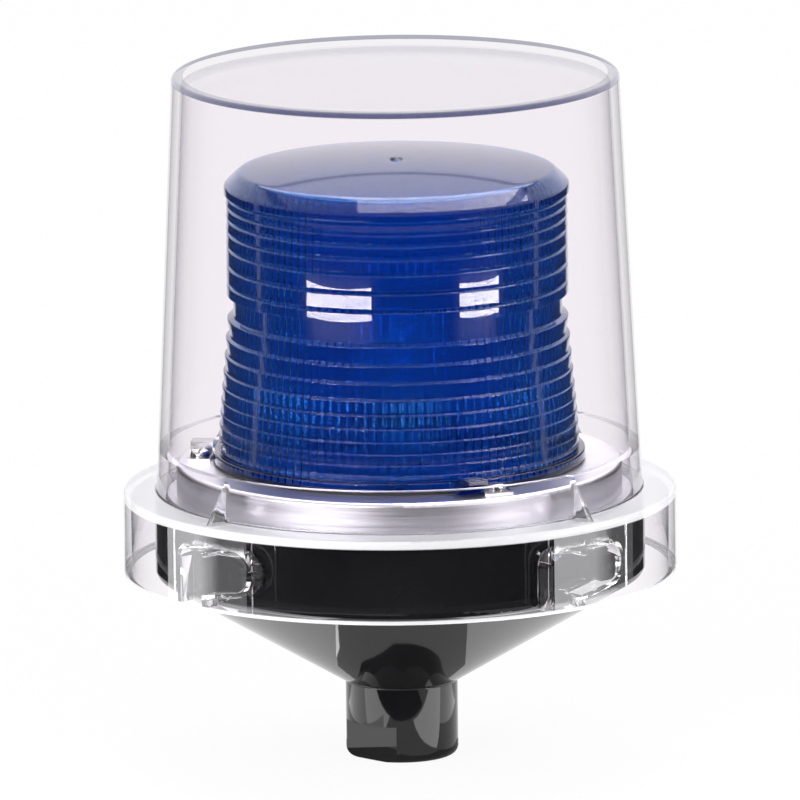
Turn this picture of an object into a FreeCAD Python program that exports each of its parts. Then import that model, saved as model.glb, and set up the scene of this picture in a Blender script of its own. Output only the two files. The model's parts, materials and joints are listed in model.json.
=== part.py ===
import FreeCAD, Part

import math
import os

from FreeCAD import Vector

# Pipe-mounted strobe light. Millimetres, +Z up along the pipe's axis.
# The origin is the centre of the hub's mouth. The front is -Y, and a bearing
# is an angle in degrees from the front, turning towards +X.

# Pipe hub
hub_radius = 18.8
hub_height = 26.0
hub_edge_round = 2.8
hub_top_round = 1.0
thread_radius = 11.7
thread_length = 20.0
wire_passage_radius = 10.0
flat_distance = 15.0
flat_height = 12.5
flat_bearing = -43.0
cut_past = 1.0

# Housing casting
cone_foot_step = 1.6
cone_foot_rise = 0.5
cone_foot_round = 0.5
cone_slope = 31.0
drum_radius = 82.0
drum_height = 23.9
drum_edge_round = 3.0
drum_rim_round = 0.8
housing_wall = 3.5
rim_height = 5.0
rim_land_rise = 1.8
pillar_radius = 4.5
pillar_lens_gap = 1.5
pillar_bearings = (0.0, 90.0, 180.0, 270.0)
ground_boss_radius = 5.0
ground_boss_ring_radius = 25.0
ground_boss_bearing = 180.0
ground_boss_rise = 8.0
ground_screw_length = 6.0
ground_screw_head = 4.0

# Bayonet lugs on the drum
lug_width = 9.0
lug_height = 8.6
lug_round = 2.6
lug_end_gap = 1.5
lug_ramp_gap = 0.3
bayonet_bearings = (45.0, 135.0, 225.0, 315.0)

# Dome gasket
gasket_thickness = 1.5
gasket_side_gap = 0.3
seal_gap = 0.2

# Outer dome
dome_wall = 3.0
dome_foot_inset = 0.7
dome_height = 143.0
dome_taper = 6.6
dome_edge_round = 2.4
dome_inner_round = 1.2
dome_root_round = 1.0
dome_crown = 1.2
dome_side_gap = 0.4
flange_thickness = 2.7
flange_edge_round = 1.2
skirt_wall = 2.5
skirt_depth = 25.5
skirt_edge_round = 0.5
gusset_reach = 8.3
gusset_height = 13.5
dome_parting_rise = 14.2
gusset_thickness = 2.2

# Bayonet tracks inside the skirt
track_pad_step = 0.8
track_pad_half_width = 18.24
track_rib_depth = 6.2
track_rib_gap = 1.0
track_rib_thickness = 1.7
track_roof_drop = 6.5
track_end_height = 12.4
track_ramp_angle = 10.0
track_entry_width = 11.2
track_entry_centre = -9.9
track_end_centre = 9.7
track_entry_round = 4.0
snap_bump_radius = 1.9
snap_bump_centre = -2.6
lug_centre = 8.8

# Chassis pan
sheet = 1.5
pan_height = 11.9
pan_brim_width = 3.0
pan_brim_gap = 0.3
pan_edge_round = 1.6
pan_bend_round = 0.4
pan_screw_hole_radius = 1.9

# Lens
lens_gasket_thickness = 1.0
lens_gasket_width = 6.5
lens_gasket_inset = 0.3
lens_pan_margin = 12.3
lens_foot_width = 6.8
lens_foot_thickness = 3.0
lens_inner_draft = 5.0
lens_inner_round = 2.0
lens_belt_centre_height = 52.0
lens_belt_half_height = 4.0
lens_belt_inset = 7.3
lens_crest_inset = 5.2
lens_lower_draft = 0.083
lens_shoulder_height = 92.9
lens_shoulder_inset = 4.6
lens_top_rise = 4.6
lens_top_inset = 9.5
lens_top_thickness = 2.5
lens_crown = 3.4
lens_gate_radius = 2.4
lens_gate_height = 0.8
ring_pitch = 6.4
ring_pitch_ratio = 0.925
ring_least_pitch = 3.3
lower_ring_depth = 1.9
lower_ring_depth_ratio = 0.78
lower_ring_least_depth = 0.5
upper_ring_depth = 1.2

# Lens clips, on the pan round the lens's foot
clip_bearings = (23.5, 143.5, 263.5)
clip_sheet = 1.2
clip_width = 7.6
clip_foot_length = 9.0
clip_tongue_length = 5.5
clip_gap = 0.3
ear_width = 8.8
ear_reach = 7.2

# Screws, shared sizes
screw_radius = 1.5
screw_head_radius = 3.2
screw_head_height = 2.2
screw_head_round = 1.3
screw_length = 8.0
screw_slot_width = 0.9
screw_slot_depth = 0.9
thread_fit = 0.05

# Flash tube socket
socket_body_radius = 16.5
socket_body_depth = 12.6
socket_flange_radius = 27.0
socket_flange_thickness = 2.5
socket_flange_round = 1.0
socket_body_round = 0.8
socket_hole_gap = 0.5
socket_screw_ring_radius = 22.0
contact_ring_radius = 8.0
contact_radius = 2.1
contact_floor = 1.6
contact_fit = 0.05
contact_top_inset = 0.3
contact_tail_radius = 0.8
contact_tail_length = 1.2
contact_tail_gap = 0.1

# Flash tube
tube_seat_gap = 0.2
tube_base_radius = 15.0
tube_base_height = 12.5
tube_base_round = 1.2
tube_skirt_radius = 17.0
tube_skirt_height = 4.0
tube_foot_round = 0.5
pin_radius = 1.2
pin_length = 10.5
pin_end_gap = 0.4
pin_end_round = 0.5
cover_radius = 14.2
cover_wall = 1.2
cover_height = 54.0
xenon_radius = 3.0
xenon_wall = 0.8
xenon_half_spacing = 7.0
xenon_leg_height = 35.5
electrode_radius = 1.7
electrode_height = 9.0
trigger_wire_radius = 0.4
trigger_ring_height = 20.0
trigger_ring_gap = 0.05

# Circuit board and what hangs under it
board_radius = 43.0
board_thickness = 1.6
board_pillar_gap = 1.0
standoff_length = 17.5
standoff_radius = 2.6
standoff_ring_radius = 37.5
standoff_bearings = (45.0, 135.0, 225.0, 315.0)
board_screw_length = 6.0
capacitor_radius = 11.0
capacitor_height = 27.0
capacitor_round = 1.2
capacitor_spread = 17.0
capacitor_back = 15.0
transformer_width = 26.0
transformer_depth = 18.0
transformer_core_depth = 12.0
transformer_height = 21.0
transformer_core_side = 5.5
transformer_front = 21.0
winding_round = 2.0
terminal_end_margin = 5.0
terminal_depth = 12.0
terminal_height = 14.0
terminal_side = 24.0
terminal_front = 10.0
terminal_pitch = 8.0
terminal_count = 3
terminal_wire_radius = 2.6
terminal_screw_radius = 2.4
terminal_screw_length = 6.0
terminal_screw_inset = 0.4
terminal_wire_drop = 5.9
terminal_wire_depth = 9.0

# Heat sink with its transistor
heat_sink_width = 16.0
heat_sink_height = 24.0
heat_sink_foot = 8.0
heat_sink_sheet = 2.0
heat_sink_side = 33.0
heat_sink_bearing = 292.5
transistor_width = 10.2
transistor_height = 15.6
transistor_thickness = 4.4
transistor_top_gap = 5.0
transistor_hole_drop = 2.9
transistor_tab = 1.3
transistor_leg = 0.7
transistor_leg_pitch = 2.54
transistor_screw_head = 2.6
transistor_screw_end = 0.7

# On top of the board, beside the socket
trigger_block_width = 11.0
trigger_block_depth = 14.0
trigger_block_height = 13.0
trigger_block_round = 1.2
trigger_block_side = 25.0
resistor_length = 22.0
resistor_section = 8.0
resistor_stand = 1.0
resistor_side = 26.0
resistor_foot_side = 1.2
resistor_foot_round = 0.3
fuse_radius = 2.6
fuse_length = 20.0
fuse_cap_length = 5.0
fuse_cap_wall = 0.2
fuse_back = 28.0
fuse_clip_sheet = 0.5
fuse_clip_width = 4.0
fuse_clip_rise = 4.4
fuse_clip_mouth_rise = 1.0
fuse_clip_gap = 0.05
electronics_round = 0.6

# Heights of the stack, from the hub's mouth upwards
cone_foot_radius = hub_radius + cone_foot_step
cone_rise = math.tan(math.radians(cone_slope))
cone_top_z = hub_height + (drum_radius - cone_foot_radius) * cone_rise
drum_top_z = cone_top_z + drum_height
land_top_z = drum_top_z + rim_land_rise
dome_foot_z = drum_top_z + gasket_thickness + seal_gap
flange_top_z = dome_foot_z + flange_thickness
skirt_bottom_z = dome_foot_z - skirt_depth
dome_edge_z = dome_foot_z + dome_height
brim_top_z = land_top_z + sheet
pan_top_z = land_top_z + pan_height
pan_under_z = pan_top_z - sheet
lens_foot_z = pan_top_z + lens_gasket_thickness
socket_top_z = pan_top_z + socket_flange_thickness
socket_bottom_z = pan_top_z - socket_body_depth
tube_foot_z = socket_top_z + tube_seat_gap
board_top_z = pan_under_z - standoff_length
board_under_z = board_top_z - board_thickness

# Radii that follow from the drum and the dome's wall
track_inner_radius = drum_radius + track_rib_gap
track_pad_radius = track_inner_radius + track_rib_depth
skirt_inner_radius = track_pad_radius + track_pad_step
flange_radius = skirt_inner_radius + skirt_wall
lug_outer_radius = track_pad_radius - lug_end_gap
dome_foot_radius = drum_radius - dome_foot_inset
dome_foot_inner = dome_foot_radius - dome_wall
rim_land_radius = dome_foot_inner - dome_side_gap
brim_radius = rim_land_radius - pan_brim_gap
pan_radius = brim_radius - pan_brim_width
rim_inner_radius = pan_radius - sheet

# The lens stands inside the pan's edge, and the pillars inside the lens
lens_foot_radius = pan_radius - lens_pan_margin
lens_inner_foot_radius = lens_foot_radius - lens_foot_width
lens_inner_top_radius = lens_inner_foot_radius - lens_inner_draft
lens_belt_radius = lens_foot_radius - lens_belt_inset
lens_crest_radius = lens_foot_radius - lens_crest_inset
lens_shoulder_radius = lens_foot_radius - lens_shoulder_inset
lens_top_radius = lens_foot_radius - lens_top_inset
pillar_ring_radius = lens_inner_foot_radius - pillar_lens_gap - pillar_radius

# The track's roof, and the ramp that its floor follows
track_roof_z = dome_foot_z - track_roof_drop
track_end_radius = track_end_height / 2
track_end_z = track_roof_z - track_end_radius
ramp_rise = math.tan(math.radians(track_ramp_angle))

UP = Vector(0, 0, 1)
ORIGIN = Vector(0, 0, 0)


def in_section(radius, height):
    """A point of the radius and height plane."""
    return Vector(radius, 0, height)


def at_front(radius):
    """A function that places (along, height) on the plane at that radius in front of the axis."""
    return lambda along, height: Vector(along, -radius, height)


def in_plan(height):
    """A function that places (x, y) at one height."""
    return lambda x, y: Vector(x, y, height)


def rounded_face(corners, place=in_section):
    """The face inside a polygon of corners (a, b) or (a, b, rounding)."""
    points = [place(*corner[:2]) for corner in corners]
    turns = []
    for index, corner in enumerate(corners):
        point = points[index]
        rounding = corner[2] if len(corner) > 2 else 0.0
        if rounding <= 0.0:
            turns.append((point, None, point))
            continue
        back = (points[index - 1] - point).normalize()
        ahead = (points[(index + 1) % len(points)] - point).normalize()
        half_angle = back.getAngle(ahead) / 2
        reach = rounding / math.tan(half_angle)
        middle = point + (back + ahead).normalize() * (rounding / math.sin(half_angle) - rounding)
        turns.append((point + back * reach, middle, point + ahead * reach))
    edges = []
    for index, (start, middle, end) in enumerate(turns):
        if middle is not None:
            edges.append(Part.Arc(start, middle, end).toShape())
        following = turns[(index + 1) % len(turns)][0]
        if end.distanceToPoint(following) > 1e-6:
            edges.append(Part.LineSegment(end, following).toShape())
    return Part.Face(Part.Wire(edges))


def spin(corners, angle=360.0, start=0.0):
    """A body turned about the axis from corners (radius, height, rounding)."""
    face = rounded_face(corners)
    face.rotate(ORIGIN, UP, start)
    return face.revolve(ORIGIN, UP, angle)


def ring(inner, outer, low, high):
    """A plain ring about the axis."""
    return spin([(inner, low), (outer, low), (outer, high), (inner, high)])


def rod(radius, low, high, x=0.0, y=0.0):
    """An upright cylinder."""
    return Part.makeCylinder(radius, high - low, Vector(x, y, low), UP)


def cap(radius, rise, height):
    """A shallow dome-shaped segment standing on a level circle."""
    sphere_radius = (radius ** 2 + rise ** 2) / (2 * rise)
    half_way = radius / 2
    half_height = math.sqrt(sphere_radius ** 2 - half_way ** 2) - (sphere_radius - rise)
    edge = in_section(radius, height)
    top = in_section(0, height + rise)
    middle = in_section(half_way, height + half_height)
    curve = Part.Arc(edge, middle, top).toShape()
    down = Part.LineSegment(top, in_section(0, height)).toShape()
    floor = Part.LineSegment(in_section(0, height), edge).toShape()
    return Part.Face(Part.Wire([curve, down, floor])).revolve(ORIGIN, UP, 360)


def block(along, away, low, high):
    """A box, from ranges (least, most) to the right and away from the axis towards the front."""
    return Part.makeBox(along[1] - along[0], away[1] - away[0], high - low,
                        Vector(along[0], -away[1], low))


def soft_block(width, depth, low, high, x=0.0, y=0.0, rounding=electronics_round):
    """An upright box centred on (x, y), its standing corners rounded."""
    corners = [(x - width / 2, y - depth / 2, rounding), (x + width / 2, y - depth / 2, rounding),
               (x + width / 2, y + depth / 2, rounding), (x - width / 2, y + depth / 2, rounding)]
    return rounded_face(corners, in_plan(low)).extrude(Vector(0, 0, high - low))


def turned(shape, bearing):
    """A copy of a shape made at the front, turned to a bearing."""
    copy = shape.copy()
    copy.rotate(ORIGIN, UP, bearing)
    return copy


def around(shape, bearings):
    """Copies of a shape at each bearing."""
    return [turned(shape, bearing) for bearing in bearings]


def fused(first, others):
    """One solid from several that meet."""
    return first.multiFuse(others).removeSplitter()


def group(solids):
    """Separate solids kept in one node."""
    return Part.makeCompound(solids)


def cone_inner_z(radius):
    """Height of the cone's inner surface at a radius."""
    rise = (radius - cone_foot_radius) * cone_rise
    return hub_height + rise + housing_wall / math.cos(math.radians(cone_slope))


def pan_head_screw(length, radius=screw_radius, head=screw_head_radius):
    """A slotted pan head screw, its head standing on height 0 with the shank below."""
    head_body = spin([(0, 0), (head, 0), (head, screw_head_height, screw_head_round),
                      (0, screw_head_height)])
    shank = rod(radius, -length, screw_head_height / 2)
    slot = Part.makeBox(2 * head, screw_slot_width, screw_slot_depth + cut_past,
                        Vector(-head, -screw_slot_width / 2, screw_head_height - screw_slot_depth))
    return fused(head_body, [shank]).cut(slot)


def screw_at(screw, x, y, z, upside_down=False):
    """A copy of a screw with its seat at a point."""
    copy = screw.copy()
    if upside_down:
        copy.rotate(ORIGIN, Vector(1, 0, 0), 180)
    copy.translate(Vector(x, y, z))
    return copy


def on_ring(radius, bearing):
    """The (x, y) of a point at a radius and a bearing."""
    angle = math.radians(bearing)
    return radius * math.sin(angle), -radius * math.cos(angle)


def bayonet_lug():
    """One lug at the front, a rounded block that stands out of the drum."""
    low = track_end_z - track_end_radius + lug_ramp_gap
    high = low + lug_height
    left = lug_centre - lug_width / 2
    right = lug_centre + lug_width / 2
    root_radius = drum_radius - housing_wall / 2
    face = rounded_face([(left, low, lug_round), (right, low, lug_round),
                         (right, high, lug_round), (left, high, lug_round)], at_front(root_radius))
    return face.extrude(Vector(0, root_radius - lug_outer_radius, 0))


def housing_outside():
    """The casting's outer form, solid."""
    return spin([(0, 0), (hub_radius, 0, hub_edge_round), (hub_radius, hub_height, hub_top_round),
                 (cone_foot_radius, hub_height + cone_foot_rise, cone_foot_round),
                 (drum_radius, cone_top_z, drum_edge_round),
                 (drum_radius, drum_top_z, drum_rim_round),
                 (rim_land_radius, drum_top_z), (rim_land_radius, land_top_z), (0, land_top_z)])


def housing_cavity():
    """The hollow inside the cone and the drum, open at the top."""
    floor_radius = wire_passage_radius + housing_wall
    floor_z = cone_inner_z(floor_radius)
    inner_radius = drum_radius - housing_wall
    rim_low_z = land_top_z - rim_height
    rim_slope = inner_radius - rim_inner_radius
    return spin([(0, floor_z), (floor_radius, floor_z), (inner_radius, cone_inner_z(inner_radius)),
                 (inner_radius, rim_low_z - rim_slope), (rim_inner_radius, rim_low_z),
                 (rim_inner_radius, land_top_z + cut_past), (0, land_top_z + cut_past)])


def base_housing():
    """The black casting: hub, cone, drum, lugs, pillars and ground boss."""
    pillar = rod(pillar_radius, hub_height, pan_under_z, 0, -pillar_ring_radius)
    ground_x, ground_y = on_ring(ground_boss_ring_radius, ground_boss_bearing)
    ground_top_z = cone_inner_z(ground_boss_ring_radius) + ground_boss_rise
    posts = around(pillar, pillar_bearings) + [rod(ground_boss_radius, hub_height, ground_top_z,
                                                   ground_x, ground_y)]
    hollow = housing_cavity().cut(group(posts))
    body = housing_outside().cut(hollow)
    pillar_top = rod(pillar_radius, land_top_z - rim_height, pan_under_z, 0, -pillar_ring_radius)
    body = fused(body, around(pillar_top, pillar_bearings) + around(bayonet_lug(), bayonet_bearings))
    bore = rod(thread_radius, -cut_past, thread_length)
    passage = rod(wire_passage_radius, 0, cone_inner_z(wire_passage_radius + housing_wall) + cut_past)
    flat = block((-hub_radius, hub_radius), (flat_distance, hub_radius + cut_past), -cut_past, flat_height)
    screw_hole = rod(screw_radius + thread_fit, pan_under_z - screw_length, pan_under_z + cut_past,
                     0, -pillar_ring_radius)
    ground_hole = rod(screw_radius + thread_fit, ground_top_z - ground_screw_length - cut_past,
                      ground_top_z + cut_past, ground_x, ground_y)
    cuts = [bore, passage, ground_hole]
    cuts += around(flat, (flat_bearing, flat_bearing + 180)) + around(screw_hole, pillar_bearings)
    return body.cut(cuts)


def dome_gasket():
    """Flat ring on the drum's rim, under the dome's flange."""
    return ring(rim_land_radius + gasket_side_gap, drum_radius - drum_rim_round,
                drum_top_z, drum_top_z + gasket_thickness)


def track_space(margin, depth_from, depth_to):
    """The way that a lug takes, grown by a margin, as a block between two radii at the front."""
    left = track_entry_centre - track_entry_width / 2 - margin
    right = track_entry_centre + track_entry_width / 2 + margin
    roof = track_roof_z + margin
    end_floor = track_end_z - track_end_radius - margin / math.cos(math.radians(track_ramp_angle))
    entry_floor = end_floor - (track_end_centre - right) * ramp_rise
    bottom = skirt_bottom_z - cut_past
    towards = Vector(0, depth_from - depth_to, 0)
    entry = rounded_face([(left, bottom), (right, bottom), (right, roof),
                          (left, roof, track_entry_round + margin)],
                         at_front(depth_from)).extrude(towards)
    run_left = right - cut_past
    run = rounded_face([(run_left, entry_floor - cut_past * ramp_rise), (track_end_centre, end_floor),
                        (track_end_centre, roof), (run_left, roof)],
                       at_front(depth_from)).extrude(towards)
    end = Part.makeCylinder(track_end_radius + margin, depth_to - depth_from,
                            Vector(track_end_centre, -depth_from, track_end_z), Vector(0, -1, 0))
    return fused(entry, [run, end])


def bayonet_track():
    """One track at the front: ribs round the lug's way, with a snap bump under the roof."""
    inner = track_inner_radius - skirt_wall
    outer = flange_radius
    ribs = track_space(track_rib_thickness, inner, outer)
    ribs = ribs.cut(track_space(0.0, inner - cut_past, outer + cut_past))
    bump = Part.makeCylinder(snap_bump_radius, outer - inner,
                             Vector(snap_bump_centre, -inner, track_roof_z), Vector(0, -1, 0))
    ribs = fused(ribs, [bump])
    return ribs.common(ring(track_inner_radius, skirt_inner_radius + skirt_wall / 2,
                            skirt_bottom_z, dome_foot_z))


def dome_moulding():
    """The clear moulding: wall, top, flange, gussets, skirt and tracks."""
    top_radius = dome_foot_radius - dome_taper
    shell = spin([(dome_foot_inner, dome_foot_z), (skirt_inner_radius, dome_foot_z),
                  (skirt_inner_radius, skirt_bottom_z),
                  (flange_radius, skirt_bottom_z, skirt_edge_round),
                  (flange_radius, flange_top_z, flange_edge_round),
                  (dome_foot_radius, flange_top_z, dome_root_round),
                  (top_radius, dome_edge_z, dome_edge_round), (0, dome_edge_z),
                  (0, dome_edge_z - dome_wall),
                  (top_radius - dome_wall, dome_edge_z - dome_wall, dome_inner_round)])
    crown = cap(top_radius - dome_edge_round, dome_crown, dome_edge_z)
    pad_back = skirt_inner_radius + skirt_wall / 2
    pad_top_z = dome_foot_z + flange_thickness / 2
    half_angle = math.degrees(math.asin(track_pad_half_width / track_pad_radius))
    pad = spin([(track_pad_radius, skirt_bottom_z), (pad_back, skirt_bottom_z),
                (pad_back, pad_top_z), (track_pad_radius, pad_top_z)], 2 * half_angle, -90 - half_angle)
    slope = dome_taper / (dome_edge_z - flange_top_z)
    gusset_top = flange_top_z + gusset_height
    root = dome_foot_radius - dome_wall / 2
    gusset_face = Part.Face(Part.makePolygon([
        Vector(0, -root, flange_top_z - flange_thickness / 2),
        Vector(0, -dome_foot_radius - gusset_reach, flange_top_z - flange_thickness / 2),
        Vector(0, -dome_foot_radius - gusset_reach, flange_top_z),
        Vector(0, -(dome_foot_radius - slope * gusset_height), gusset_top),
        Vector(0, -root + slope * gusset_height, gusset_top),
        Vector(0, -root, flange_top_z - flange_thickness / 2)]))
    gusset_face.translate(Vector(-gusset_thickness / 2, 0, 0))
    gusset = gusset_face.extrude(Vector(gusset_thickness, 0, 0))
    parts = [crown] + around(pad, bayonet_bearings) + around(bayonet_track(), bayonet_bearings)
    return fused(shell, parts + around(gusset, bayonet_bearings))


def over_the_parting():
    """The space over the level plane where the moulding's cup meets its foot."""
    return rod(flange_radius, flange_top_z + dome_parting_rise, dome_edge_z + 2 * dome_crown)


def outer_dome():
    """The moulding's cup: the wall over the gussets, and the top."""
    return dome_moulding().common(over_the_parting())


def dome_foot():
    """The moulding's foot: the wall's lowest part, gussets, flange, skirt and tracks."""
    return dome_moulding().cut(over_the_parting())


def lens_screw_place():
    """Where a clip's screw stands at the front: (along, away)."""
    along = clip_sheet + clip_gap + clip_foot_length / 2
    away = lens_foot_radius + clip_gap + clip_width / 2
    return along, away


def chassis_pan():
    """Pressed pan that carries the lens and the socket, with a brim on the housing's rim."""
    side_inner = pan_radius - sheet
    pan = spin([(0, pan_under_z), (side_inner, pan_under_z, pan_bend_round), (side_inner, land_top_z),
                (brim_radius, land_top_z), (brim_radius, brim_top_z),
                (pan_radius, brim_top_z), (pan_radius, pan_top_z, pan_edge_round), (0, pan_top_z)])
    clip_along, clip_away = lens_screw_place()
    collar = rod(screw_radius + sheet, pan_under_z - 2 * sheet, pan_under_z, clip_along, -clip_away)
    pan = fused(pan, around(collar, clip_bearings))
    low = pan_under_z - cut_past
    high = pan_top_z + cut_past
    hole = rod(pan_screw_hole_radius, low, high, 0, -pillar_ring_radius)
    clip_hole = rod(screw_radius + thread_fit, low - 2 * sheet, high, clip_along, -clip_away)
    socket_hole = rod(screw_radius + thread_fit, low, high, 0, -socket_screw_ring_radius)
    centre = rod(socket_body_radius + socket_hole_gap, low, high)
    cuts = [centre] + around(hole, pillar_bearings) + around(clip_hole, clip_bearings)
    return pan.cut(cuts + around(socket_hole, (0, 180)))


def chassis_screws():
    """Screws through the pan into the housing's pillars."""
    screw = screw_at(pan_head_screw(screw_length), 0, -pillar_ring_radius, pan_top_z)
    return group(around(screw, pillar_bearings))


def lens_gasket():
    """Flat ring between the pan and the lens's foot."""
    return ring(lens_foot_radius - lens_gasket_width, lens_foot_radius - lens_gasket_inset,
                pan_top_z, lens_foot_z)


def lower_rings():
    """Outline of the ring pack under the belt, from the foot up to the belt."""
    belt_low_z = lens_foot_z + lens_belt_centre_height - lens_belt_half_height
    foot_top_z = lens_foot_z + lens_foot_thickness
    points = []
    ledge_z = belt_low_z
    pitch = ring_pitch
    depth = lower_ring_depth
    while ledge_z > foot_top_z + pitch / 2:
        crest = lens_crest_radius + lens_lower_draft * (belt_low_z - ledge_z)
        following_z = max(ledge_z - pitch, foot_top_z)
        following_crest = crest + lens_lower_draft * (ledge_z - following_z)
        depth = max(depth * lower_ring_depth_ratio, lower_ring_least_depth)
        points += [(crest, ledge_z), (following_crest - depth, following_z)]
        ledge_z = following_z
        pitch = max(pitch * ring_pitch_ratio, ring_least_pitch)
    if ledge_z > foot_top_z:
        points.append((points[-1][0], foot_top_z))
    return list(reversed(points)) + [(lens_belt_radius, belt_low_z)]


def upper_rings():
    """Outline of the ring pack over the belt, from the belt up to the shoulder."""
    ledge_z = lens_foot_z + lens_belt_centre_height + lens_belt_half_height
    shoulder_z = lens_foot_z + lens_shoulder_height
    points = [(lens_belt_radius, ledge_z)]
    pitch = ring_pitch
    while ledge_z + pitch < shoulder_z:
        points += [(lens_crest_radius, ledge_z), (lens_crest_radius - upper_ring_depth, ledge_z + pitch)]
        ledge_z += pitch
        pitch = max(pitch * ring_pitch_ratio, ring_least_pitch)
    return points + [(lens_shoulder_radius, ledge_z), (lens_shoulder_radius, shoulder_z)]


def blue_lens():
    """The ring lens: foot with three ears, ring packs, belt and crowned top."""
    top_z = lens_foot_z + lens_shoulder_height + lens_top_rise
    ceiling_z = top_z - lens_top_thickness
    outline = [(lens_inner_foot_radius, lens_foot_z), (lens_foot_radius, lens_foot_z),
               (lens_foot_radius, lens_foot_z + lens_foot_thickness)]
    outline += lower_rings() + upper_rings()
    outline += [(lens_top_radius, top_z), (0, top_z), (0, ceiling_z),
                (lens_inner_top_radius, ceiling_z, lens_inner_round)]
    body = spin(outline)
    gate = rod(lens_gate_radius, top_z, top_z + lens_crown + lens_gate_height)
    ear = block((-ear_width, 0), (lens_foot_radius - lens_foot_width / 2, lens_foot_radius + ear_reach),
                lens_foot_z, lens_foot_z + lens_foot_thickness)
    body = fused(body, [cap(lens_top_radius, lens_crown, top_z), gate] + around(ear, clip_bearings))
    hollow = fused(cap(lens_inner_top_radius - lens_inner_round, lens_crown, ceiling_z),
                   [rod(lens_inner_top_radius - lens_inner_round, ceiling_z - cut_past, ceiling_z)])
    return body.cut(hollow)


def lens_clips():
    """Stepped clips: a foot on the pan and a tongue over each ear."""
    away = (lens_foot_radius + clip_gap, lens_foot_radius + clip_gap + clip_width)
    ear_top = lens_foot_z + lens_foot_thickness
    foot_end = clip_gap + clip_sheet + clip_foot_length
    foot = block((clip_gap, foot_end), away, pan_top_z, pan_top_z + clip_sheet)
    riser = block((clip_gap, clip_gap + clip_sheet), away, pan_top_z, ear_top + clip_sheet)
    tongue = block((-clip_tongue_length, clip_gap + clip_sheet), away, ear_top, ear_top + clip_sheet)
    along, centre = lens_screw_place()
    hole = rod(screw_radius + thread_fit, pan_top_z - cut_past, pan_top_z + clip_sheet + cut_past,
               along, -centre)
    return group(around(fused(foot, [riser, tongue]).cut(hole), clip_bearings))


def lens_screws():
    """A screw through each clip into the pan's collar."""
    along, away = lens_screw_place()
    screw = screw_at(pan_head_screw(screw_length), along, -away, pan_top_z + clip_sheet)
    return group(around(screw, clip_bearings))


def tube_socket():
    """Round four-way socket, its flange on the pan."""
    body = spin([(0, socket_bottom_z), (socket_body_radius, socket_bottom_z, socket_body_round),
                 (socket_body_radius, pan_top_z), (socket_flange_radius, pan_top_z),
                 (socket_flange_radius, socket_top_z, socket_flange_round), (0, socket_top_z)])
    hole = rod(contact_radius + thread_fit, socket_bottom_z - cut_past, socket_top_z + cut_past,
               0, -contact_ring_radius)
    screw_hole = rod(screw_radius + thread_fit, pan_top_z - cut_past, socket_top_z + cut_past,
                     0, -socket_screw_ring_radius)
    return body.cut(around(hole, pillar_bearings) + around(screw_hole, (0, 180)))


def socket_screws():
    """Two screws through the socket's flange into the pan."""
    screw = screw_at(pan_head_screw(screw_length), 0, -socket_screw_ring_radius, socket_top_z)
    return group(around(screw, (0, 180)))


def socket_contacts():
    """Sleeves that take the tube's pins, with tails through the board."""
    centre = -contact_ring_radius
    sleeve = rod(contact_radius, socket_bottom_z - contact_floor, socket_top_z - contact_top_inset,
                 0, centre)
    tail = rod(contact_tail_radius, board_under_z - contact_tail_length, socket_bottom_z, 0, centre)
    bore_floor = tube_foot_z - pin_length - pin_end_gap
    bore = rod(pin_radius + contact_fit, bore_floor, socket_top_z + cut_past, 0, centre)
    return group(around(fused(sleeve, [tail]).cut(bore), pillar_bearings))


def tube_base():
    """Moulded base of the flash tube."""
    top_z = tube_foot_z + tube_base_height
    skirt_z = tube_foot_z + tube_skirt_height
    return spin([(0, tube_foot_z), (tube_skirt_radius, tube_foot_z, tube_foot_round),
                 (tube_skirt_radius, skirt_z, tube_base_round), (tube_base_radius, skirt_z),
                 (tube_base_radius, top_z, tube_base_round), (0, top_z)])


def tube_pins():
    """The base's four pins."""
    pin = spin([(0, tube_foot_z - pin_length), (pin_radius, tube_foot_z - pin_length, pin_end_round),
                (pin_radius, tube_foot_z), (0, tube_foot_z)])
    pin.translate(Vector(0, -contact_ring_radius, 0))
    return group(around(pin, pillar_bearings))


def tube_cover():
    """Clear cover over the xenon tube, round at the top."""
    foot_z = tube_foot_z + tube_base_height
    centre_z = foot_z + cover_height - cover_radius
    outside = fused(rod(cover_radius, foot_z, centre_z),
                    [Part.makeSphere(cover_radius, Vector(0, 0, centre_z), UP, 0, 90, 360)])
    inner_radius = cover_radius - cover_wall
    inside = fused(rod(inner_radius, foot_z - cut_past, centre_z),
                   [Part.makeSphere(inner_radius, Vector(0, 0, centre_z), UP, 0, 90, 360)])
    return outside.cut(inside)


def bent_tube(radius, extra):
    """A solid U on two legs, its legs run down by an extra length."""
    foot_z = tube_foot_z + tube_base_height
    bend_z = foot_z + xenon_leg_height
    legs = [rod(radius, foot_z - extra, bend_z, side * xenon_half_spacing, 0) for side in (-1, 1)]
    bend = Part.Face(Part.Wire(Part.makeCircle(radius, Vector(xenon_half_spacing, 0, bend_z), UP)))
    bend = bend.revolve(Vector(0, 0, bend_z), Vector(0, -1, 0), 180)
    return fused(legs[0], [legs[1], bend])


def xenon_tube():
    """The U-shaped glass discharge tube."""
    return bent_tube(xenon_radius, 0.0).cut(bent_tube(xenon_radius - xenon_wall, cut_past))


def tube_electrodes():
    """An electrode in the foot of each leg."""
    foot_z = tube_foot_z + tube_base_height
    return group([rod(electrode_radius, foot_z, foot_z + electrode_height, side * xenon_half_spacing, 0)
                  for side in (-1, 1)])


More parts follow.
